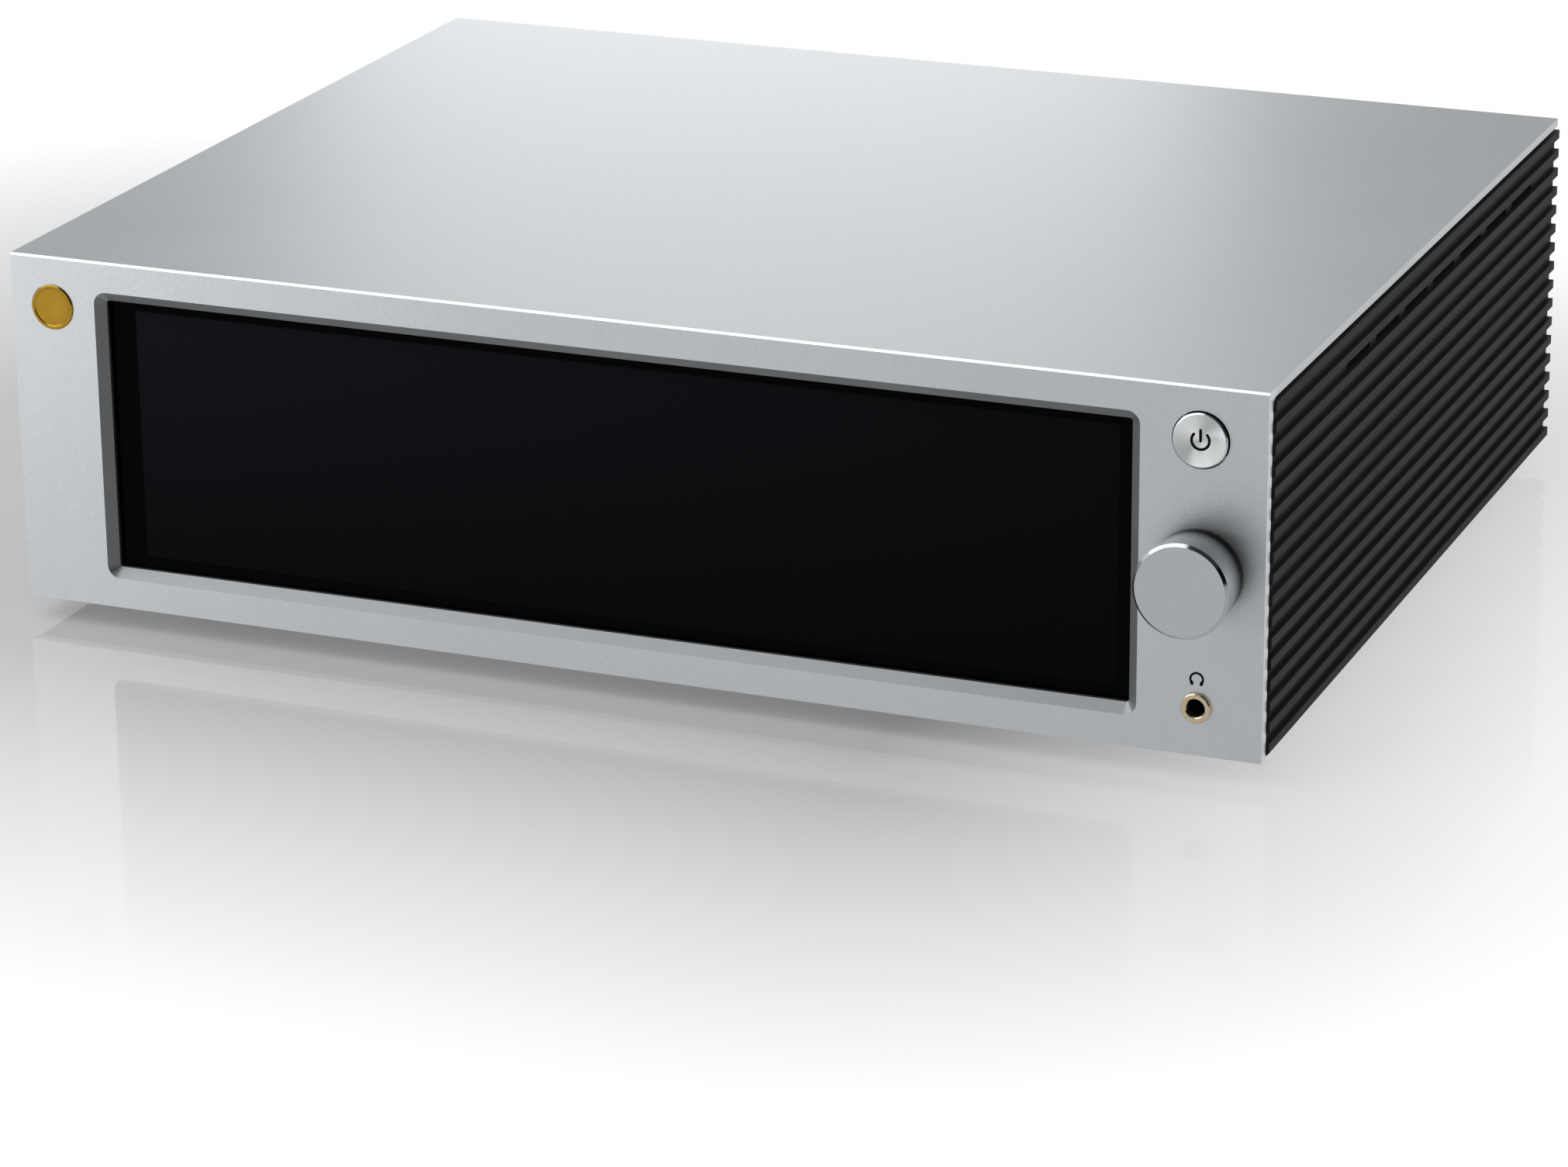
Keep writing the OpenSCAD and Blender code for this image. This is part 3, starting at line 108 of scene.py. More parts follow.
# Pale and dark parts of the room that the polished edges show: direction, change of strength, the
# cosines where it begins and is full, and the heights between which a part is cut off, if any
ROOM_PARTS = (
    ((0.65, 0.35, 0.67), 0.5, 0.85, 0.97, None),
    ((-0.97, 0.02, 0.27), 0.6, 0.88, 0.97, None),
    ((0.6, -0.5, 0.6), -0.52, 0.60, 0.70, (0.34, 0.40)),
    ((0.87, -0.44, 0.12), -0.9, 0.925, 0.945, None),
)
# The room's strength at the horizon, over ROOM_HEIGHT, and as the light that surfaces scatter
ROOM_LOW, ROOM_HIGH, ROOM_HEIGHT, ROOM_LIGHT = 1.0, 0.57, 0.16, 0.45

FLOOR_SIZE = 12.0  # metres
# The floor turns white outwards from the object: share of white beside it, distance in metres at
# which it is white, how far the grey zone is drawn to the left, and the share that mirrors show
FLOOR_NEAR, FLOOR_REACH, FLOOR_DRAWN, FLOOR_MIRRORED = 0.19, 0.160, 0.08, 0.55

CAMERA_PLACE = (431.52, -1067.68, 402.93)  # mm
SENSOR_WIDTH = 36.0  # mm
CLIP_START, CLIP_END = 0.02, 50.0  # metres

bl_info = {
    "name": "Network music streamer",
    "version": (1, 0, 0),
    "blender": (4, 5, 0),
    "location": "3D View > Sidebar > Streamer",
    "description": "Finishes and small pieces of a network music streamer, and its stage",
    "category": "Object",
}


def colour_prop(name, about, value):
    """A colour that a user may change."""
    return bpy.props.FloatVectorProperty(
        name=name, description=about, subtype="COLOR", size=3, min=0.0, max=1.0, default=value
    )


def length_prop(name, about, value):
    """A length that a user may change, with its default in mm."""
    return bpy.props.FloatProperty(
        name=name, description=about, subtype="DISTANCE", unit="LENGTH", default=value * MM
    )


def angle_prop(name, about, value):
    """An angle that a user may change, with its default in degrees."""
    return bpy.props.FloatProperty(
        name=name, description=about, subtype="ANGLE", default=math.radians(value)
    )


class FinishSettings(bpy.types.PropertyGroup):
    """Colours of the outside finishes."""

    silver: colour_prop("Silver", "Bead-blasted anodising of cover and knob", (0.56, 0.585, 0.60))
    # The milled colour is darker than the silver as painted shade on the bevel round the display
    milled: colour_prop("Milled", "Bevel round the display opening", (0.33, 0.345, 0.355))
    # The edge colour is paler than the silver partly for bare cut metal and partly as painted
    # highlight
    edge: colour_prop("Edge", "Cut edges of the cover", (0.68, 0.70, 0.715))
    charcoal: colour_prop("Charcoal", "Anodising of the ribbed side panels", (0.037, 0.037, 0.042))
    black: colour_prop("Black", "Powder coat of the base and rear panel", (0.014, 0.014, 0.015))
    gold: colour_prop("Gold", "Polished plating of the badge", (0.40, 0.235, 0.028))
    champagne: colour_prop("Champagne", "Ring of the headphone socket", (0.60, 0.50, 0.34))
    cap: colour_prop("Button", "Turned face of the power button", (0.70, 0.72, 0.73))
    glass: colour_prop("Glass", "Cover glass over the dark display", (0.0010, 0.0010, 0.0011))
    lit: colour_prop("Lit area", "Picture area behind the cover glass", (0.0090, 0.0096, 0.0128))


class MarkSettings(bpy.types.PropertyGroup):
    """Sizes of the printed symbols."""

    power_ring: length_prop("Power ring", "Middle radius of the power symbol's ring", 1.83)
    power_stroke: length_prop("Power stroke", "Line width of the power symbol", 0.56)
    band: length_prop("Headband", "Middle radius of the headphone symbol's band", 1.3)
    band_stroke: length_prop("Headband stroke", "Line width of the headphone symbol's band", 0.46)
    ink: length_prop("Ink", "Thickness of a printed symbol", 0.03)


class StudioSettings(bpy.types.PropertyGroup):
    """Floor and camera."""

    floor: colour_prop("Floor", "Colour of the floor", (0.52, 0.52, 0.525))
    lens: bpy.props.FloatProperty(
        name="Lens", description="Focal length of the camera", default=124.63, min=20.0,
        unit="CAMERA",
    )
    turn: angle_prop("Turn", "Camera's turn round the object", 22.34)
    tilt: angle_prop("Tilt", "Camera's height above the horizon", 19.77)
    roll: angle_prop("Roll", "Camera's roll", -0.526)


# Node groups of a finish


def toned(colour, level):
    """A colour at another level."""
    return tuple(level * c for c in colour)


def rgba(colour, level=1.0):
    """A colour for a shader's socket, at a level and held under white."""
    return tuple(min(1.0, c * level) for c in colour) + (1.0,)


def new_node(tree, kind, inputs=(), **values):
    """A shader node with its settings, and its inputs linked or set by number or name."""
    node = tree.nodes.new(kind)
    for key, value in values.items():
        setattr(node, key, value)
    for key, value in dict(inputs).items():
        if isinstance(value, bpy.types.NodeSocket):
            tree.links.new(value, node.inputs[key])
        else:
            node.inputs[key].default_value = value
    return node


def math_node(tree, operation, a, b=0.0):
    """A sum, product or the like of two numbers."""
    return new_node(tree, "ShaderNodeMath", {0: a, 1: b}, operation=operation).outputs["Value"]


def vector_node(tree, operation, *inputs):
    """The vector, length or dot product that a Vector Math node gives."""
    node = new_node(tree, "ShaderNodeVectorMath", dict(enumerate(inputs)), operation=operation)
    return node.outputs["Value" if operation in ("LENGTH", "DOT_PRODUCT") else "Vector"]


def mapped(tree, value, low, high, start=NOISE_LOW, end=NOISE_HIGH):
    """A number that goes from low to high while the value goes from start to end."""
    return new_node(
        tree, "ShaderNodeMapRange",
        {"Value": value, "From Min": start, "From Max": end, "To Min": low, "To Max": high},
    ).outputs["Result"]


def mixed(tree, factor, first, second, blend="MIX"):
    """A blend of two colours."""
    return new_node(
        tree, "ShaderNodeMix", {"Factor": factor, COLOUR_A: first, COLOUR_B: second},
        data_type="RGBA", blend_type=blend,
    ).outputs[COLOUR_OUT]


def mixed_number(tree, factor, first, second):
    """A blend of two numbers."""
    return new_node(
        tree, "ShaderNodeMix", {"Factor": factor, NUMBER_A: first, NUMBER_B: second},
        data_type="FLOAT",
    ).outputs[NUMBER_OUT]


def object_coords(tree):
    """Object coordinates, in metres."""
    return new_node(tree, "ShaderNodeTexCoord").outputs["Object"]


def parts_of(tree, vector):
    """The X, Y and Z of a vector."""
    return new_node(tree, "ShaderNodeSeparateXYZ", {"Vector": vector}).outputs


def place_of(tree, stretch=(1.0, 1.0, 1.0), centre=(0.0, 0.0, 0.0)):
    """Object coordinates from a centre, stretched along an axis where a finish has a grain."""
    coords = object_coords(tree)
    moved = tuple(-c * s for c, s in zip(centre, stretch))
    return new_node(
        tree, "ShaderNodeMapping", {"Vector": coords, "Location": moved, "Scale": stretch}
    ).outputs["Vector"]


def inside_box(tree, low, high, soft):
    """1 inside a box given in metres and 0 outside it, over the axes that both corners name."""
    parts = parts_of(tree, object_coords(tree))
    share = 1.0
    for part, a, b in zip(parts, low, high):
        if a is None:
            continue
        for start, end in ((a - soft, a + soft), (b + soft, b - soft)):
            share = math_node(tree, "MULTIPLY", share, mapped(tree, part, 0.0, 1.0, start, end))
    return share


def shader_of(mat):
    """The main shader node of a finish."""
    return mat.node_tree.nodes["Principled BSDF"]


def finish(
    name, colour, metallic=0.0, roughness=0.5, tint=0.05, patch=30.0, swing=0.05,
    grain=0.3, depth=0.004, stretch=(1.0, 1.0, 1.0), turned=None, fleck=None, sockets=(),
):
    """A finish with slight patches of tint and gloss, and a fine grain.

    tint and swing are how far the patches change its tone and its roughness.
    patch and grain are sizes in mm and depth is the height of the grain in mm.
    turned is the centre of a lathe-turned face whose lines run round the Y axis.
    fleck is the strength of the dark specks, where it differs from the tint.
    sockets holds further values of the shader by name.
    """
    mat = bpy.data.materials.new(name)
    mat.use_nodes = True
    tree = mat.node_tree
    shader = shader_of(mat)
    place = place_of(tree, stretch)
    scale = 1.0 / (grain * MM)
    broad = new_node(
        tree, "ShaderNodeTexNoise", {"Vector": place, "Scale": 1.0 / (patch * MM), "Detail": 3.0}
    ).outputs[0]
    if turned is None:
        fine = new_node(
            tree, "ShaderNodeTexNoise", {"Vector": place, "Scale": scale, "Detail": 1.0}
        ).outputs[0]
    else:
        radius = vector_node(tree, "LENGTH", place_of(tree, (1.0, 0.0, 1.0), turned))
        fine = new_node(
            tree, "ShaderNodeTexNoise", {"W": radius, "Scale": scale, "Detail": 2.0},
            noise_dimensions="1D",
        ).outputs[0]
    patches = mapped(tree, broad, 0.0, 1.0)
    shade = mixed(tree, patches, rgba(colour, 1 - tint), rgba(colour, 1 + tint))
    specks = mapped(tree, fine, 0.0, tint if fleck is None else fleck)
    speckled = mixed(tree, specks, shade, rgba(colour, SPECK))
    gloss = mapped(tree, broad, roughness - swing, roughness + swing)
    bump = new_node(
        tree, "ShaderNodeBump", {"Height": fine, "Distance": depth * MM, "Strength": 1.0}
    )
    tree.links.new(speckled, shader.inputs["Base Color"])
    tree.links.new(gloss, shader.inputs["Roughness"])
    tree.links.new(bump.outputs["Normal"], shader.inputs["Normal"])
    shader.inputs["Metallic"].default_value = metallic
    for key, value in dict(sockets).items():
        shader.inputs[key].default_value = value
    return mat


def tone_towards(mat, share, colour):
    """Turns a finish towards another colour, by a share that changes over the piece."""
    base = shader_of(mat).inputs["Base Color"]
    mat.node_tree.links.new(
        mixed(mat.node_tree, share, base.links[0].from_socket, rgba(colour)), base
    )


def dress(mat, *names):
    """Gives nodes one finish all over."""
    for name in names:
        NODES[name].data.materials.clear()
        NODES[name].data.materials.append(mat)


def repaint(name, mat, test):
    """Gives a node's faces whose middle and normal pass the test a second finish."""
    mesh = NODES[name].data
    mesh.materials.append(mat)
    index = len(mesh.materials) - 1
    for face in mesh.polygons:
        if test(face.center, face.normal):
            face.material_index = index


# Modelling by hand


def clear_selection():
    if bpy.context.object and bpy.context.object.mode != "OBJECT":
        bpy.ops.object.mode_set(mode="OBJECT")
    bpy.ops.object.select_all(action="DESELECT")


def select_only(obj):
    """Makes an object the only selected one, and the active one."""
    clear_selection()
    bpy.context.view_layer.objects.active = obj
    obj.select_set(True)


def edit(obj, kind, test):
    """Opens edit mode on an object with only the faces or edges selected whose test is true."""
    select_only(obj)
    mesh = obj.data
    bpy.ops.object.mode_set(mode="EDIT")
    bpy.ops.mesh.select_mode(type=kind)
    bpy.ops.mesh.select_all(action="DESELECT")
    bpy.ops.object.mode_set(mode="OBJECT")
    if kind == "FACE":
        for face in mesh.polygons:
            face.select = test(face.center, face.normal)
    else:
        for line in mesh.edges:
            a, b = (mesh.vertices[i].co for i in line.vertices)
            line.select = test((a + b) / 2, (b - a).normalized())
    bpy.ops.object.mode_set(mode="EDIT")


def bevel(obj, offset, segments, test):
    """Rounds the edges whose middle and direction pass the test."""
    edit(obj, "EDGE", test)
    bpy.ops.mesh.bevel(offset=offset, segments=segments, affect="EDGES")
    bpy.ops.object.mode_set(mode="OBJECT")


def settle(obj):
    """Puts the place, turn and size of an object into its mesh."""
    select_only(obj)
    bpy.ops.object.transform_apply(location=True, rotation=True, scale=True)
    return obj


def joined(parts, name):
    """One object made of all the parts."""
    clear_selection()
    for part in parts:
        part.select_set(True)
    bpy.context.view_layer.objects.active = parts[0]
    if len(parts) > 1:
        bpy.ops.object.join()
    obj = bpy.context.object
    obj.name = obj.data.name = name
    return obj


def complete(obj, mat, body):
    """Cleans a finished piece, gives it its finish and lets it ride its body."""
    select_only(obj)
    bpy.ops.object.mode_set(mode="EDIT")
    bpy.ops.mesh.select_all(action="SELECT")
    bpy.ops.mesh.remove_doubles(threshold=MERGE_DISTANCE)
    bpy.ops.mesh.normals_make_consistent(inside=False)
    bpy.ops.object.mode_set(mode="OBJECT")
    bpy.ops.object.shade_smooth_by_angle(angle=SMOOTH_ANGLE)
    obj.data.materials.clear()
    obj.data.materials.append(mat)
    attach(obj, body)


def arc_stroke(centre, radius, stroke, thick, start, sweep, steps=48):
    """A flat curved line on a front face: its section is spun round the Y axis."""
    clear_selection()
    bpy.ops.mesh.primitive_plane_add(size=1.0, location=(0, 0, 0))
    obj = bpy.context.object
    obj.scale = (stroke, thick, 1.0)
    settle(obj)
    obj.location = (radius, 0.0, 0.0)
    settle(obj)
    obj.rotation_euler = (0.0, -start, 0.0)
    settle(obj)
    obj.location = centre
    settle(obj)
    edit(obj, "FACE", lambda c, n: True)
    bpy.ops.mesh.spin(steps=steps, angle=sweep, center=centre, axis=(0.0, 1.0, 0.0))
    bpy.ops.object.mode_set(mode="OBJECT")
    return obj


def disc(centre, radius, thick, sides):
    """A flat round plate with a rounded rim that lies in a front face."""
    clear_selection()
    bpy.ops.mesh.primitive_cylinder_add(
        vertices=sides, radius=radius, depth=thick, location=centre, rotation=(math.pi / 2, 0, 0)
    )
    obj = settle(bpy.context.object)
    rim = min(0.3 * thick, 0.2 * radius)
    bevel(obj, rim, 2, lambda c, d: abs(d.y) < ACROSS)
    return obj


def rounded_bar(centre, size, round_off, axis=1, segments=6):
    """A block whose four edges along an axis are rounded."""
    clear_selection()
    bpy.ops.mesh.primitive_cube_add(size=1.0, location=centre, scale=size)
    obj = settle(bpy.context.object)
    bevel(obj, round_off, segments, lambda c, d: abs(d[axis]) > ALONG)
    return obj


def copied(obj, places):
    """Copies of a model, each with its own mesh, at places in mm. The model itself is removed."""
    parts = []
    for place in places:
        select_only(obj)
        bpy.ops.object.duplicate(linked=False)
        twin = bpy.context.object
        twin.location = Vector(place) * MM
        parts.append(settle(twin))
    bpy.data.objects.remove(obj)
    return parts


def middle(node):
    low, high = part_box(node)
    return (low + high) / 2


class STREAMER_OT_casing(bpy.types.Operator):
    """Finishes the L-shaped cover in fine bead-blasted silver anodising"""

    bl_idname = "streamer.casing"
    bl_label = "Cover"

    def execute(self, context):
        look = context.scene.streamer_finishes
        silver = finish(
            "silver_anodised", look.silver, metallic=1.0, roughness=0.42, tint=0.02, patch=45.0,
            swing=0.006, grain=0.36, depth=0.016, fleck=0.13,
        )
        dress(silver, "casing_shell")
        self.opening(look)
        self.cut_edges(look)
        return {"FINISHED"}

    def opening(self, look):
        """The milled bevel round the display, darker than the cover as painted shade, and its
        upright sides darker still as painted shade.
        """
        low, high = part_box("display_glass")

        def on_bevel(c, n):
            return (
                n.y > -FLAT and low.x < c.x < high.x and low.z < c.z < high.z and c.y < low.y
            )

        def on_upright(c, n):
            return on_bevel(c, n) and n.y < -SLANT and abs(n.x) > abs(n.z)

        # Painted shade: the whole bevel is darker than the cover, and its upright sides are a
        # darker copy at 0.60
        for name, level, test in (
            ("milled_bevel_painted_shade", 1.0, on_bevel), ("milled_upright_painted_shade", 0.60, on_upright),
        ):
            milled = finish(
                name, toned(look.milled, level), metallic=1.0, roughness=0.5, tint=0.06,
                patch=20.0, swing=0.02, grain=0.3, depth=0.012,
            )
            repaint("casing_shell", milled, test)

    def cut_edges(self, look):
        """The top front chamfer and the side cuts, paler than the cover partly as bare cut metal
        and partly as painted highlight, and paler still at the front plate as painted highlight.
        """
        low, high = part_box("casing_shell")
        plate_end, blend_end = low.y + 2.5 * MM, low.y + 6.0 * MM
        chamfer, cut = high.z - 2.0 * MM, high.x - 0.1 * MM
        highlight_level = 1.2
        trimmed = finish(
            "trimmed_edge_painted_highlight", look.edge, metallic=1.0, roughness=0.3, tint=0.02, patch=30.0,
            swing=0.01, grain=0.2, depth=0.002,
        )
        tree = trimmed.node_tree
        # Painted highlight: the cut edge of the front plate is paler than that of the top
        along = parts_of(tree, object_coords(tree))["Y"]
        plate = mapped(tree, along, 1.0, 0.0, plate_end, blend_end)
        tone_towards(trimmed, plate, toned(look.edge, highlight_level))
        repaint(
            "casing_shell", trimmed,
            lambda c, n: c.z > chamfer and n.y < -SLANT and n.z > SLANT
            or abs(c.x) > cut and abs(n.x) > FLAT,
        )


class STREAMER_OT_sides(bpy.types.Operator):
    """Finishes the ribbed side panels in charcoal anodising with faint drawing lines"""

    bl_idname = "streamer.sides"
    bl_label = "Side panels"

    def execute(self, context):
        look = context.scene.streamer_finishes
        charcoal = finish(
            "charcoal_anodised", look.charcoal, roughness=0.5, tint=0.16, patch=25.0, grain=0.35,
            depth=0.008, stretch=(1.0, 0.05, 1.0), sockets={"Specular IOR Level": 0.05},
        )
        dress(
            charcoal, "side_heatsink_left", "side_heatsink_right", "processor_heatsink",
            "supply_heatsink",
        )
        return {"FINISHED"}


class STREAMER_OT_display(bpy.types.Operator):
    """Finishes the black cover glass, the display behind it and the parts that hold them"""

    bl_idname = "streamer.display"
    bl_label = "Display"

    def execute(self, context):
        self.cover_glass(context.scene.streamer_finishes)
        panel = finish("lcd", (0.01, 0.012, 0.016), roughness=0.2, grain=0.3, depth=0.001)
        dress(panel, "display_panel")
        foam = finish("foam", (0.01, 0.01, 0.01), roughness=0.9, grain=0.4, depth=0.08)
        dress(foam, "display_gasket")
        return {"FINISHED"}

    def cover_glass(self, look):
        """Black glass whose picture area shows faintly, and fades to the right and downwards."""
        glass = finish(
            "display_glass", look.glass, roughness=0.06, tint=0.02, patch=120.0, swing=0.01,
            grain=12.0, depth=0.0002, sockets={"Specular IOR Level": 0.022},
        )
        low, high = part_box("display_glass")
        left, right, bottom, top = 8.6 * MM, 5.676 * MM, 5.3 * MM, 4.77 * MM  # dark borders
        soft = 0.2 * MM
        right_level, bottom_level = 0.42, 0.35
        faint, clear = low.z + 5.0 * MM, high.z - 8.0 * MM
        start = (low.x + left, None, low.z + bottom)
        end = (high.x - right, None, high.z - top)
        tree = glass.node_tree
        area = inside_box(tree, start, end, soft)
        parts = parts_of(tree, object_coords(tree))
        across = mapped(tree, parts["X"], 1.0, right_level, low.x, high.x)
        upwards = mapped(tree, parts["Z"], bottom_level, 1.0, faint, clear)
        lit = math_node(tree, "MULTIPLY", math_node(tree, "MULTIPLY", area, across), upwards)
        picture = mixed(tree, lit, rgba(look.glass), rgba(look.lit))
        tree.links.new(picture, shader_of(glass).inputs["Base Color"])
        dress(glass, "display_glass")


class STREAMER_OT_power_button(bpy.types.Operator):
    """Finishes the dished, lathe-turned power button and prints its symbol"""

    bl_idname = "streamer.power_button"
    bl_label = "Power button"

    def execute(self, context):
        look = context.scene.streamer_finishes
        self.cap(look)
        self.edges(look)
        self.symbol(context.scene.streamer_marks)
        return {"FINISHED"}

    def cap(self, look):
        """The turned face, with a painted sheen in its colour: two pale and two dark wedges."""
        centre = middle("power_button")
        cap = finish(
            "brushed_cap", look.cap, metallic=1.0, roughness=0.34, tint=0.05, patch=20.0,
            swing=0.02, grain=0.12, depth=0.003, turned=centre, sockets={"Anisotropic": 0.9},
        )
        tree = cap.node_tree
        shader = shader_of(cap)
        radial = new_node(tree, "ShaderNodeTangent", direction_type="RADIAL", axis="Y")
        tree.links.new(radial.outputs["Tangent"], shader.inputs["Tangent"])
        # The product of x and z over the squared radius goes from -0.5 to 0.5 four times a turn
        parts = parts_of(tree, place_of(tree, (1.0, 0.0, 1.0), centre))
        x, z = parts["X"], parts["Z"]
        span = math_node(
            tree, "ADD", math_node(tree, "MULTIPLY", x, x), math_node(tree, "MULTIPLY", z, z)
        )
        wedge = math_node(tree, "DIVIDE", math_node(tree, "MULTIPLY", x, z), span)
        # Painted sheen: the colour is darkened and lightened in wedges where the turned face's
        # highlight would fall
        dark, highlight_level, lift = 0.52, 1.43, 0.20
        share = mapped(tree, wedge, 1.0, 0.0, -0.5, 0.5)
        painted_sheen = mixed(tree, share, rgba(look.cap, dark), rgba(look.cap, highlight_level))
        base = shader.inputs["Base Color"]
        shaded = mixed(tree, 1.0, base.links[0].from_socket, painted_sheen, blend="MULTIPLY")
        lifted = new_node(
            tree, "ShaderNodeBrightContrast", {"Color": shaded, "Bright": lift}
        ).outputs["Color"]
        tree.links.new(lifted, base)
        dress(cap, "power_button")

    def edges(self, look):
        """The polished chamfer, and the side wall in the gap round the button, painted near black
        as painted shade.
        """
        centre = middle("power_button")
        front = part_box("power_button")[0].y
        chamfer, face_radius, gap = 1.2 * MM, 5.5 * MM, 0.25 * MM
        polish = finish(
            "polished_edge", look.silver, metallic=1.0, roughness=0.16, tint=0.02, patch=15.0,
            swing=0.01, grain=0.2, depth=0.0005,
        )
        repaint(
            "power_button", polish,
            lambda c, n: c.y < front + chamfer and abs(n.y) < FLAT
            and (c - centre).xz.length > face_radius,
        )
        # Painted shade: the button's side wall in the gap is near black
        shade = finish(
            "button_side_painted_shade", (0.012, 0.012, 0.013), metallic=0.3, roughness=0.4, grain=0.3
        )
        repaint("power_button", shade, lambda c, n: c.y > front + gap and abs(n.y) < WALL)

    def symbol(self, marks):
        """The power symbol, printed in the dish of the button: an open ring and a bar."""
        ink = finish(
            "symbol_ink", (0.004, 0.004, 0.0045), roughness=0.6, grain=0.1, depth=0.001,
            sockets={"Specular IOR Level": 0.05},
        )
        centre = middle("power_button")
        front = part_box("power_button")[0].y
        dish = 0.43 * MM  # depth of the dish at the ring
        at = Vector((centre.x, front + dish, centre.z))
        stroke = marks.power_stroke
        start, sweep = math.radians(138), math.radians(264)
        parts = [arc_stroke(at, marks.power_ring, stroke, 2 * marks.ink, start, sweep)]
        for angle in (start, start + sweep):
            end = at + marks.power_ring * Vector((math.cos(angle), 0.0, math.sin(angle)))
            parts.append(disc(end, stroke / 2, 2 * marks.ink, 16))
        foot, tip = -0.12 * MM, 2.15 * MM
        slope, sunk = math.radians(2.1), 0.01 * MM  # the bar follows the dish
        nearly_half = 0.49
        bar = rounded_bar(
            (0, 0, 0), (stroke, 3 * marks.ink, tip - foot + stroke), nearly_half * stroke
        )
        bar.rotation_euler = (slope, 0.0, 0.0)
        bar.location = at + Vector((0.0, sunk, (foot + tip) / 2))
        parts.append(settle(bar))
        complete(joined(parts, "power_symbol"), ink, "power_key")


class STREAMER_OT_volume_knob(bpy.types.Operator):
    """Finishes the volume knob: satin face, polished chamfer and turned side"""

    bl_idname = "streamer.volume_knob"
    bl_label = "Volume knob"

    def execute(self, context):
        look = context.scene.streamer_finishes
        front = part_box("volume_knob")[0].y
        satin = finish(
            "knob_anodised", toned(look.silver, 0.90), metallic=1.0, roughness=0.36, tint=0.02,
            patch=30.0, swing=0.01, grain=0.3, depth=0.006, fleck=0.06,
        )
        dress(satin, "volume_knob")
        rim = finish(
            "knob_edge", toned(look.silver, 0.80), metallic=1.0, roughness=0.14, tint=0.02,
            patch=15.0, swing=0.01, grain=0.2, depth=0.0005,
        )
        chamfer = front + 1.5 * MM
        repaint("volume_knob", rim, lambda c, n: c.y < chamfer and WALL < abs(n.y) < FLAT)
        self.side(look, front)
        return {"FINISHED"}

    def side(self, look, front):
        """The turned side, with painted shade that turns it dark and dull towards the front plate.
        """
        turned = finish(
            "knob_turned_painted_shade", look.silver, metallic=1.0, roughness=0.24, tint=0.02, patch=30.0,
            swing=0.02, grain=0.3, depth=0.002, stretch=(1.0, 6.0, 1.0),
            sockets={"Specular IOR Level": 0.02},
        )
        tree = turned.node_tree
        along = parts_of(tree, object_coords(tree))["Y"]
        # Painted shade: colour and metallic fall to near black towards the front plate
        clear, dark, painted_shade_level = front + 4.0 * MM, front + 9.5 * MM, 0.01
        shade = mapped(tree, along, 0.0, 1.0, clear, dark)
        tone_towards(turned, shade, toned(look.silver, painted_shade_level))
        painted_shade_metallic = math_node(tree, "SUBTRACT", 1.0, shade)
        tree.links.new(painted_shade_metallic, shader_of(turned).inputs["Metallic"])
        repaint("volume_knob", turned, lambda c, n: abs(n.y) < WALL)


class STREAMER_OT_headphones(bpy.types.Operator):
    """Finishes the headphone socket with its champagne ring and prints its symbol"""

    bl_idname = "streamer.headphones"
    bl_label = "Headphone socket"

    def execute(self, context):
        look = context.scene.streamer_finishes
        ring = finish(
            "champagne", look.champagne, metallic=1.0, roughness=0.25, tint=0.04, patch=8.0,
            grain=0.1, depth=0.002, turned=middle("headphone_ring"),
        )
        dress(ring, "headphone_ring")
        bright = finish(
            "ring_edge", look.champagne, metallic=1.0, roughness=0.14, tint=0.02, patch=8.0,
            swing=0.01, grain=0.1, depth=0.0005,
        )
        repaint("headphone_ring", bright, lambda c, n: abs(n.y) < FLAT)
        self.symbol(context.scene.streamer_marks)
        return {"FINISHED"}

    def symbol(self, marks):
        """The headphone symbol: a band with two pads that lean inwards."""
        ring_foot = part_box("headphone_ring")[0].z
        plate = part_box("casing_shell")[0].y
        above = 9.1 * MM
        at = Vector((middle("headphone_ring").x, plate - marks.ink / 2, ring_foot + above))
        start, sweep = math.radians(-28), math.radians(236)
        parts = [arc_stroke(at, marks.band, marks.band_stroke, marks.ink, start, sweep)]
        apart, below, lean = 1.02 * MM, 0.82 * MM, math.radians(16)
        pad_radius, pad_stretch = 0.38 * MM, (0.95, 1.0, 1.45)
        for side in (-1, 1):
            pad = disc((0, 0, 0), pad_radius, marks.ink, 20)
            pad.scale = pad_stretch
            settle(pad)
            pad.rotation_euler = (0.0, side * lean, 0.0)
            pad.location = at + Vector((side * apart, 0, -below))
            parts.append(settle(pad))
        ink = bpy.data.materials["symbol_ink"]
        complete(joined(parts, "headphone_symbol"), ink, "chassis")


class STREAMER_OT_badge(bpy.types.Operator):
    """Finishes the plain round gold disc on the front"""

    bl_idname = "streamer.badge"
    bl_label = "Badge"

    def execute(self, context):
        look = context.scene.streamer_finishes
        gold = finish(
            "badge_gold", look.gold, metallic=1.0, roughness=0.2, tint=0.06, patch=6.0,
            swing=0.04, grain=0.12, depth=0.003, turned=middle("badge"),
        )
        dress(gold, "badge")
        return {"FINISHED"}


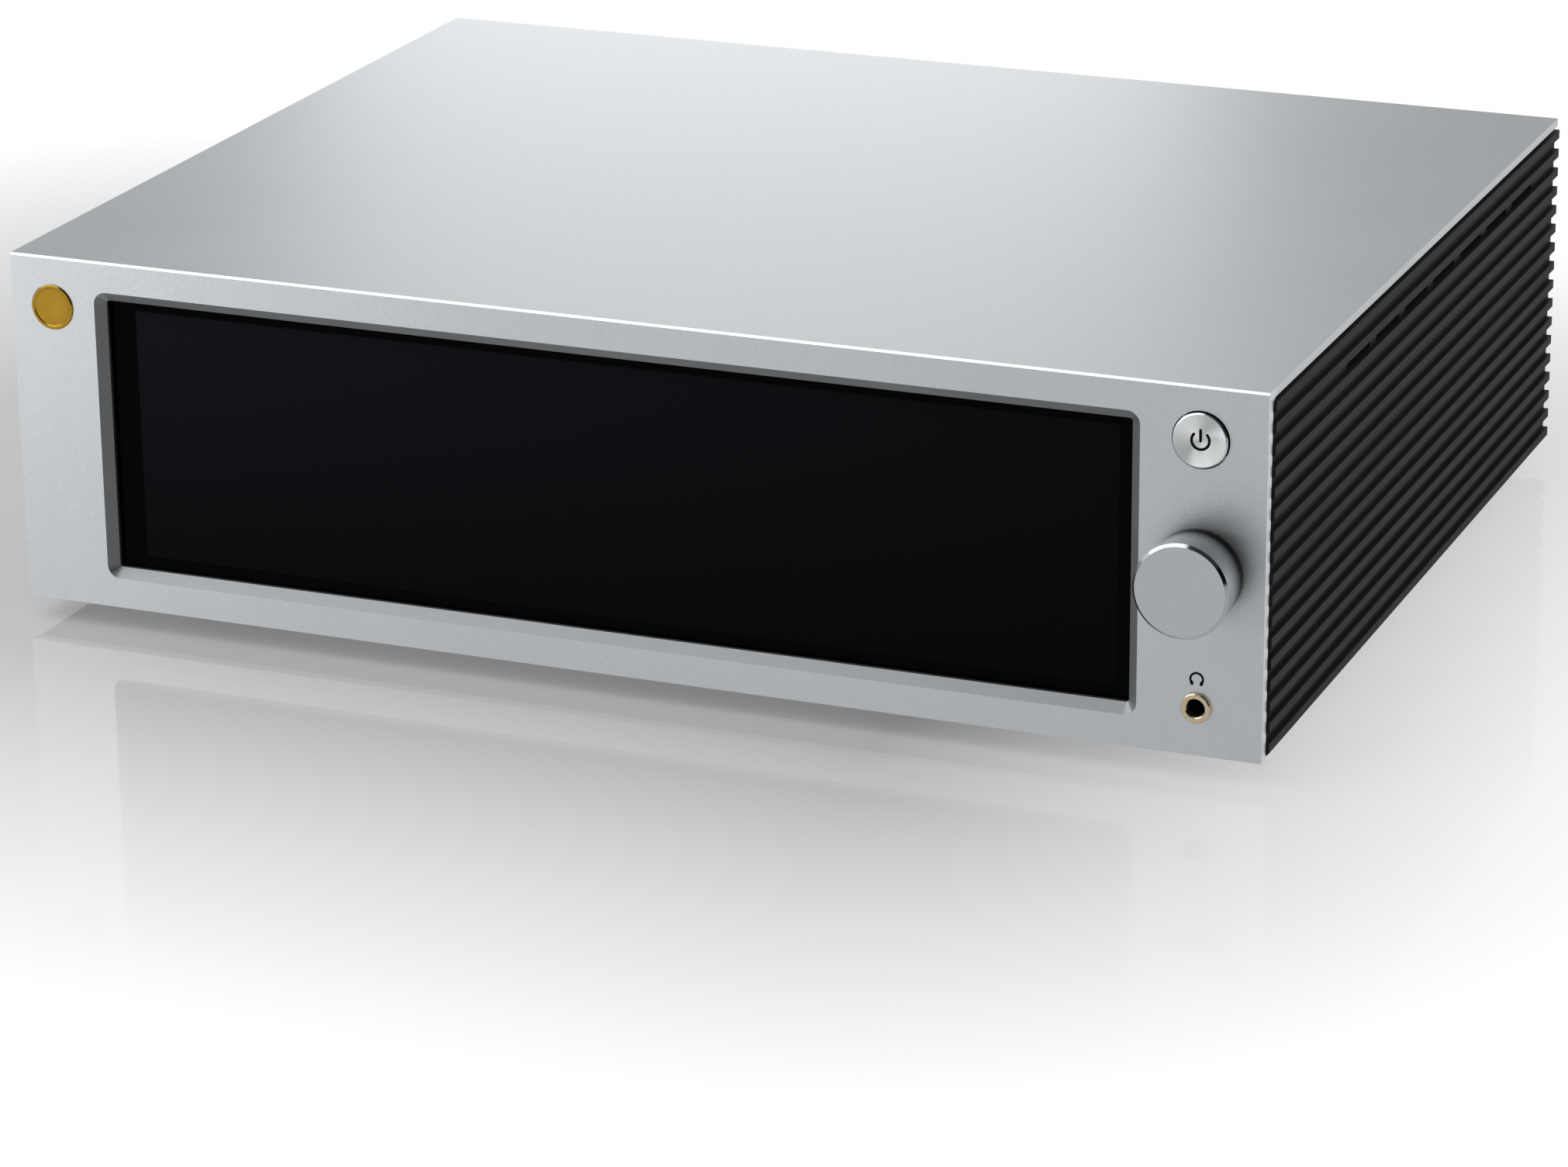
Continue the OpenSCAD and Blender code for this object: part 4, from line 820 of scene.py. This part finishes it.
class STREAMER_OT_rear(bpy.types.Operator):
    """Finishes the rear panel, its sockets and screws"""

    bl_idname = "streamer.rear"
    bl_label = "Rear panel and sockets"

    def execute(self, context):
        look = context.scene.streamer_finishes
        coat = finish(
            "black_steel", look.black, roughness=0.55, tint=0.12, patch=20.0, grain=0.5,
            depth=0.03,
        )
        dress(coat, "rear_panel", "base_plate")
        oxide = finish(
            "black_screw", (0.02, 0.02, 0.021), metallic=0.6, roughness=0.4, grain=0.2
        )
        dress(oxide, "rear_screws", "base_screws")
        gold = finish(
            "contact_gold", (0.72, 0.50, 0.17), metallic=1.0, roughness=0.2, tint=0.05,
            patch=5.0, grain=0.15, depth=0.002,
        )
        dress(gold, "phono_sleeves", "antenna_sockets", "antenna_nuts")
        plastic = finish(
            "black_plastic", (0.014, 0.014, 0.015), roughness=0.5, tint=0.1, patch=12.0,
            grain=0.25, depth=0.01,
        )
        dress(
            plastic, "mains_inlet", "phono_housing", "optical_sockets", "headphone_jack",
            "power_button_guide", "power_switch",
        )
        white = finish("white_plastic", (0.74, 0.73, 0.70), roughness=0.35, tint=0.03, grain=0.3)
        dress(white, "phono_inserts", "switch_plunger")
        plated = finish(
            "screw_steel", (0.52, 0.52, 0.51), metallic=1.0, roughness=0.32, tint=0.05,
            patch=3.0, grain=0.12, depth=0.003,
        )
        dress(
            plated, "inlet_screws", "cover_screws", "foot_screws", "board_screws",
            "control_board_screws", "display_bracket_screws", "encoder_nut",
        )
        self.digital_sockets(gold)
        self.ethernet_lamps()
        self.optical_eyes()
        self.antennas(gold, white)
        self.phono_colours()
        self.mains_blades(plated)
        return {"FINISHED"}

    def digital_sockets(self, gold):
        """Plated shells, dark tongues and gold contacts."""
        nickel = finish(
            "socket_metal", (0.55, 0.55, 0.54), metallic=1.0, roughness=0.28, tint=0.06,
            patch=5.0, grain=0.15, depth=0.003,
        )
        dress(nickel, "ethernet_socket", *TONGUES, "wireless_module")
        tongue = finish(
            "tongue_plastic", (0.012, 0.012, 0.013), roughness=0.4, tint=0.05, grain=0.3
        )
        for name, (back, half_width, half_height, heights) in TONGUES.items():
            at = middle(name)
            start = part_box(name)[0].y + back * MM

            def on_tongue(c, n):
                level = min(abs(c.z - at.z - up * MM) for up in heights)
                return (
                    c.y > start and abs(c.x - at.x) < half_width * MM and level < half_height * MM
                )

            repaint(name, tongue, on_tongue)
        for piece, socket, size, round_off, lean, back, spots in CONTACTS:
            at = middle(socket)
            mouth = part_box(socket)[1].y / MM
            contact = rounded_bar((0, 0, 0), Vector(size) * MM, round_off * MM)
            contact.rotation_euler = (math.radians(lean), 0.0, 0.0)
            settle(contact)
            places = [(at.x / MM + x, mouth - back, at.z / MM + z) for x, z in spots]
            complete(joined(copied(contact, places), piece), gold, "chassis")

    def ethernet_lamps(self):
        """The green and the amber lamp in the upper corners of the network socket."""
        centre = middle("ethernet_socket")
        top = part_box("ethernet_socket")[1]
        apart, below = 5.4 * MM, 1.2 * MM
        size, round_off = Vector((2.6, 0.5, 1.3)) * MM, 0.2 * MM
        for side, name, colour in (
            (-1, "green", (0.03, 0.35, 0.06)), (1, "amber", (0.6, 0.28, 0.02)),
        ):
            at = Vector((centre.x + side * apart, top.y, top.z - below))
            lens = rounded_bar(at, size, round_off)
            glow = finish(
                "lamp_" + name, colour, roughness=0.25, tint=0.05, patch=3.0, grain=0.3,
                depth=0.001,
            )
            complete(joined([lens], "ethernet_lamp_" + name), glow, "chassis")

    def optical_eyes(self):
        """The red lenses deep in the two optical sockets."""
        red = finish(
            "optic_red", (0.20, 0.01, 0.01), roughness=0.12, tint=0.05, patch=2.0, grain=0.3,
            depth=0.001,
        )
        low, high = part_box("optical_sockets")
        half = (high.z - low.z) / 2
        behind, radius, thick = 7.6 * MM, 1.1 * MM, 0.8 * MM
        eyes = [
            disc(Vector((x, high.y - behind, (low.z + high.z) / 2)), radius, thick, 24)
            for x in (low.x + half, high.x - half)
        ]
        complete(joined(eyes, "optical_eyes"), red, "chassis")

    def antennas(self, gold, white):
        """Thread ridges and the white front of the two antenna sockets."""
        low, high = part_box("antenna_sockets")
        z = (low.z + high.z) / 2
        half, pitch, ridges = 4.62 * MM, 0.5, 12
        full_turn = 2 * math.pi
        # Middle radius, width and thickness of a thread ridge and of an insulator
        thread = (3.12 * MM, 0.24 * MM, 0.22 * MM)
        insulator = (1.4 * MM, 1.3 * MM, 0.04 * MM)
        threads, fronts = [], []
        for x in (low.x + half, high.x - half):
            ridge = arc_stroke(Vector((0, 0, 0)), *thread, 0.0, full_turn, 40)
            threads += copied(
                ridge,
                [(x / MM, high.y / MM - pitch - pitch * i, z / MM) for i in range(ridges)],
            )
            fronts.append(
                arc_stroke(Vector((x, high.y, z)), *insulator, 0.0, full_turn, 36)
            )
        complete(joined(threads, "antenna_threads"), gold, "chassis")
        complete(joined(fronts, "antenna_insulators"), white, "chassis")

    def phono_colours(self):
        """Red for the right channel and orange for the coaxial output. The left stays white."""
        low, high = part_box("phono_inserts")
        third = (high.x - low.x) / 3
        red = finish("red_plastic", (0.42, 0.012, 0.012), roughness=0.35, tint=0.04, grain=0.3)
        repaint("phono_inserts", red, lambda c, n: c.x > high.x - third)
        orange = finish("orange_plastic", (0.60, 0.15, 0.01), roughness=0.35, tint=0.04, grain=0.3)
        repaint("phono_inserts", orange, lambda c, n: c.x < low.x + third)

    def mains_blades(self, plated):
        """The three plated blades in the mains inlet."""
        low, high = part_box("mains_inlet")
        centre = middle("mains_inlet")
        start, end = low.y + 5.1 * MM, high.y - 2.9 * MM
        apart, half_width, half_height = 7 * MM, 1.1 * MM, 4.7 * MM

        def on_blade(c, n):
            aside, up = abs(c.x - centre.x), abs(c.z - centre.z)
            return (
                start < c.y < end and up < half_height
                and (abs(aside - apart) < half_width or aside < half_width)
            )

        repaint("mains_inlet", plated, on_blade)


class STREAMER_OT_feet(bpy.types.Operator):
    """Finishes the turned feet and their rubber pads"""

    bl_idname = "streamer.feet"
    bl_label = "Feet"

    def execute(self, context):
        metal = finish("foot_metal", (0.03, 0.03, 0.033), metallic=0.5, roughness=0.4, grain=0.2)
        dress(metal, "feet")
        rubber = finish("pad_rubber", (0.012, 0.012, 0.012), roughness=0.8, grain=0.4, depth=0.02)
        dress(rubber, "foot_pads")
        return {"FINISHED"}


class STREAMER_OT_inside(bpy.types.Operator):
    """Finishes the boards and the components on them, and adds their chips"""

    bl_idname = "streamer.inside"
    bl_label = "Inside"

    def execute(self, context):
        zinc = finish("zinc_steel", (0.5, 0.51, 0.52), metallic=1.0, roughness=0.35, patch=8.0)
        dress(zinc, "display_bracket", "encoder_body", "encoder_shaft")
        board = finish("board_green", (0.01, 0.09, 0.045), roughness=0.3, tint=0.15, patch=6.0)
        dress(
            board, "main_board", "dac_board", "power_supply_board", "control_board",
            "display_driver_board",
        )
        brass = finish("brass_post", (0.55, 0.42, 0.16), metallic=1.0, roughness=0.3)
        dress(brass, "board_standoffs", "control_board_standoffs")
        package = finish("chip_black", (0.012, 0.012, 0.013), roughness=0.6)
        dress(package, "processor")
        sleeve = finish("can_sleeve", (0.03, 0.035, 0.08), roughness=0.3)
        dress(sleeve, "audio_capacitors", "supply_capacitors")
        relay = finish("relay_case", (0.55, 0.4, 0.06), roughness=0.35)
        dress(relay, "output_relays")
        film = finish("ribbon_film", (0.6, 0.6, 0.56), roughness=0.45)
        dress(film, "display_cable", "control_cable")
        wire = finish("wire_insulation", (0.12, 0.06, 0.02), roughness=0.45)
        dress(wire, "mains_leads")
        self.transformer()
        self.chips(package)
        return {"FINISHED"}

    def transformer(self):
        """The steel core, and the taped winding that shows in its windows and at both ends."""
        core = finish("core_steel", (0.08, 0.08, 0.085), metallic=0.4, roughness=0.5)
        dress(core, "supply_transformer")
        tape = finish("winding_tape", (0.55, 0.38, 0.05), roughness=0.4, tint=0.08, patch=6.0)
        centre = middle("supply_transformer")
        low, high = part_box("supply_transformer")
        half_width, half_height, end = 12.75 * MM, 7.8 * MM, 4.9 * MM
        repaint(
            "supply_transformer", tape,
            lambda c, n: abs(c.x - centre.x) < half_width and abs(c.z - centre.z) < half_height
            or c.y < low.y + end or c.y > high.y - end,
        )

    def chips(self, package):
        """Packages with their solder feet on the main board and the converter board."""
        solder = finish(
            "solder", (0.6, 0.6, 0.58), metallic=1.0, roughness=0.35, grain=0.2, depth=0.002
        )
        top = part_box("main_board")[1].z
        pitch, reach, gap, foot_level = 1.27, 0.35, 0.1, 0.15
        foot_size, foot_rounding = Vector((0.9, 0.4, 0.3)) * MM, 0.1 * MM
        corner, top_edge = 0.25 * MM, 0.12 * MM
        packages, feet = [], []
        for x, y, wide, deep, tall in CHIPS:
            at = Vector((x * MM, y * MM, top))
            lift = Vector((0.0, 0.0, (tall / 2 + gap) * MM))
            size = Vector((wide, deep, tall)) * MM
            block = rounded_bar(at + lift, size, corner, axis=2, segments=3)
            bevel(block, top_edge, 2, lambda c, d: c.z > top + size.z and abs(d.z) < ACROSS)
            packages.append(block)
            foot = rounded_bar((0, 0, 0), foot_size, foot_rounding, segments=2)
            count = int(deep / pitch)
            row = [y + (i - (count - 1) / 2) * pitch for i in range(count)]
            feet += copied(foot, [
                (x + side * (wide / 2 + reach), along, top / MM + foot_level)
                for side in (-1, 1) for along in row
            ])
        complete(joined(packages, "board_chips"), package, "chassis")
        complete(joined(feet, "board_chip_feet"), solder, "chassis")


class STREAMER_OT_stage(bpy.types.Operator):
    """Builds the pale floor, the room, the soft lamps and the camera"""

    bl_idname = "streamer.stage"
    bl_label = "Stage"

    def execute(self, context):
        studio = context.scene.streamer_studio
        clear_selection()
        bpy.ops.mesh.primitive_plane_add(size=FLOOR_SIZE, location=(0, 0, 0))
        floor = bpy.context.object
        floor.name = "floor"
        floor.data.materials.append(self.floor_paint(studio))
        self.room(context)
        for lamp in LAMPS:
            self.lamp(*lamp)
        self.camera(context, studio)
        context.scene.view_settings.view_transform = "Standard"
        return {"FINISHED"}

    def floor_paint(self, studio):
        """Glossy grey paint near the object, which turns into the white of the background.

        Only the camera and mirrors see the white, so it throws no light on the object.
        """
        mat = finish(
            "floor_paint", studio.floor, roughness=0.05, tint=0.0, swing=0.0, grain=200.0,
            depth=0.0, sockets={"Specular IOR Level": 1.0},
        )
        tree = mat.node_tree
        path = new_node(tree, "ShaderNodeLightPath").outputs
        seen = math_node(tree, "MAXIMUM", path["Is Camera Ray"], path["Is Glossy Ray"])
        # Distance outside the object's own box, which is drawn to the left
        drawn = vector_node(tree, "ADD", object_coords(tree), (FLOOR_DRAWN, 0.0, 0.0))
        half = tuple(max(abs(a), abs(b)) for a, b in zip(*CAD_BOX))
        outside = vector_node(
            tree, "SUBTRACT", vector_node(tree, "ABSOLUTE", drawn), (half[0], half[1], 0.0)
        )
        far = vector_node(
            tree, "LENGTH", vector_node(tree, "MAXIMUM", outside, (0.0, 0.0, 0.0))
        )
        fade = mapped(tree, far, FLOOR_NEAR, 1.0, 0.0, FLOOR_REACH)
        share = mixed_number(tree, path["Is Camera Ray"], FLOOR_MIRRORED, fade)
        share = math_node(tree, "MULTIPLY", share, seen)
        white = new_node(tree, "ShaderNodeEmission", {"Color": (1, 1, 1, 1), "Strength": 1.0})
        mix = new_node(
            tree, "ShaderNodeMixShader",
            {0: share, 1: shader_of(mat).outputs["BSDF"], 2: white.outputs["Emission"]},
        )
        surface = tree.nodes["Material Output"].inputs["Surface"]
        tree.links.new(mix.outputs["Shader"], surface)
        return mat

    def room(self, context):
        """A white world for the camera, paler and darker in parts, and a plain light from it."""
        world = bpy.data.worlds.new("studio")
        context.scene.world = world
        world.use_nodes = True
        tree = world.node_tree
        tree.nodes.clear()
        path = new_node(tree, "ShaderNodeLightPath").outputs
        seen = math_node(tree, "MAXIMUM", path["Is Camera Ray"], path["Is Glossy Ray"])
        seen = math_node(tree, "MAXIMUM", seen, path["Is Transmission Ray"])
        sky = new_node(tree, "ShaderNodeTexCoord").outputs["Generated"]
        height = parts_of(tree, sky)["Z"]
        level = mapped(tree, height, ROOM_LOW, ROOM_HIGH, 0.0, ROOM_HEIGHT)
        for towards, change, start, full, cut in ROOM_PARTS:
            aim = tuple(Vector(towards).normalized())
            near = vector_node(tree, "DOT_PRODUCT", sky, aim)
            part = mapped(tree, near, 0.0, change, start, full)
            if cut:
                part = math_node(tree, "MULTIPLY", part, mapped(tree, height, 0.0, 1.0, *cut))
            level = math_node(tree, "MAXIMUM", math_node(tree, "ADD", level, part), 0.0)
        strength = mixed_number(tree, seen, ROOM_LIGHT, level)
        glow = new_node(
            tree, "ShaderNodeBackground", {"Color": (1, 1, 1, 1), "Strength": strength}
        )
        out = new_node(tree, "ShaderNodeOutputWorld")
        tree.links.new(glow.outputs["Background"], out.inputs["Surface"])

    def lamp(self, name, place, target, size, power):
        clear_selection()
        bpy.ops.object.light_add(type="AREA", location=place)
        lamp = bpy.context.object
        lamp.name = name
        lamp.data.shape = "SQUARE"
        lamp.data.size = size
        lamp.data.energy = power
        lamp.rotation_mode = "QUATERNION"
        lamp.rotation_quaternion = (Vector(target) - Vector(place)).to_track_quat("-Z", "Y")

    def camera(self, context, studio):
        """The camera as fitted to the photograph's corners, with its roll."""
        turn, tilt, roll = studio.turn, studio.tilt, studio.roll
        ahead = Vector(
            (-math.sin(turn) * math.cos(tilt), math.cos(turn) * math.cos(tilt), -math.sin(tilt))
        )
        right = Vector((math.cos(turn), math.sin(turn), 0.0))
        up = right.cross(ahead)
        across = right * math.cos(roll) + up * math.sin(roll)
        above = up * math.cos(roll) - right * math.sin(roll)
        place = Vector(CAMERA_PLACE) * MM
        clear_selection()
        bpy.ops.object.camera_add(location=place)
        cam = bpy.context.object
        axes = Matrix((across, above, -ahead)).transposed()
        cam.matrix_world = Matrix.Translation(place) @ axes.to_4x4()
        cam.data.lens = studio.lens
        cam.data.sensor_width = SENSOR_WIDTH
        cam.data.clip_start = CLIP_START
        cam.data.clip_end = CLIP_END
        context.scene.camera = cam


OPERATORS = (
    STREAMER_OT_casing,
    STREAMER_OT_sides,
    STREAMER_OT_display,
    STREAMER_OT_power_button,
    STREAMER_OT_volume_knob,
    STREAMER_OT_headphones,
    STREAMER_OT_badge,
    STREAMER_OT_rear,
    STREAMER_OT_feet,
    STREAMER_OT_inside,
    STREAMER_OT_stage,
)
SETTINGS = {
    "streamer_finishes": FinishSettings,
    "streamer_marks": MarkSettings,
    "streamer_studio": StudioSettings,
}


class VIEW3D_PT_streamer(bpy.types.Panel):
    """Lists the settings and the pieces of the streamer"""

    bl_idname = "VIEW3D_PT_streamer"
    bl_label = "Network music streamer"
    bl_space_type = "VIEW_3D"
    bl_region_type = "UI"
    bl_category = "Streamer"

    def draw(self, context):
        for key, group in SETTINGS.items():
            box = self.layout.box()
            for prop in group.__annotations__:
                box.prop(getattr(context.scene, key), prop)
        for operator in OPERATORS:
            self.layout.operator(operator.bl_idname)


def register():
    for group in SETTINGS.values():
        bpy.utils.register_class(group)
    for key, group in SETTINGS.items():
        setattr(bpy.types.Scene, key, bpy.props.PointerProperty(type=group))
    for cls in (*OPERATORS, VIEW3D_PT_streamer):
        bpy.utils.register_class(cls)


def unregister():
    for cls in reversed((*OPERATORS, VIEW3D_PT_streamer)):
        bpy.utils.unregister_class(cls)
    for key, group in SETTINGS.items():
        delattr(bpy.types.Scene, key)
        bpy.utils.unregister_class(group)


def main():
    register()
    for operator in OPERATORS:
        getattr(bpy.ops.streamer, operator.bl_idname.split(".")[1])()


if __name__ == "__main__":
    main()
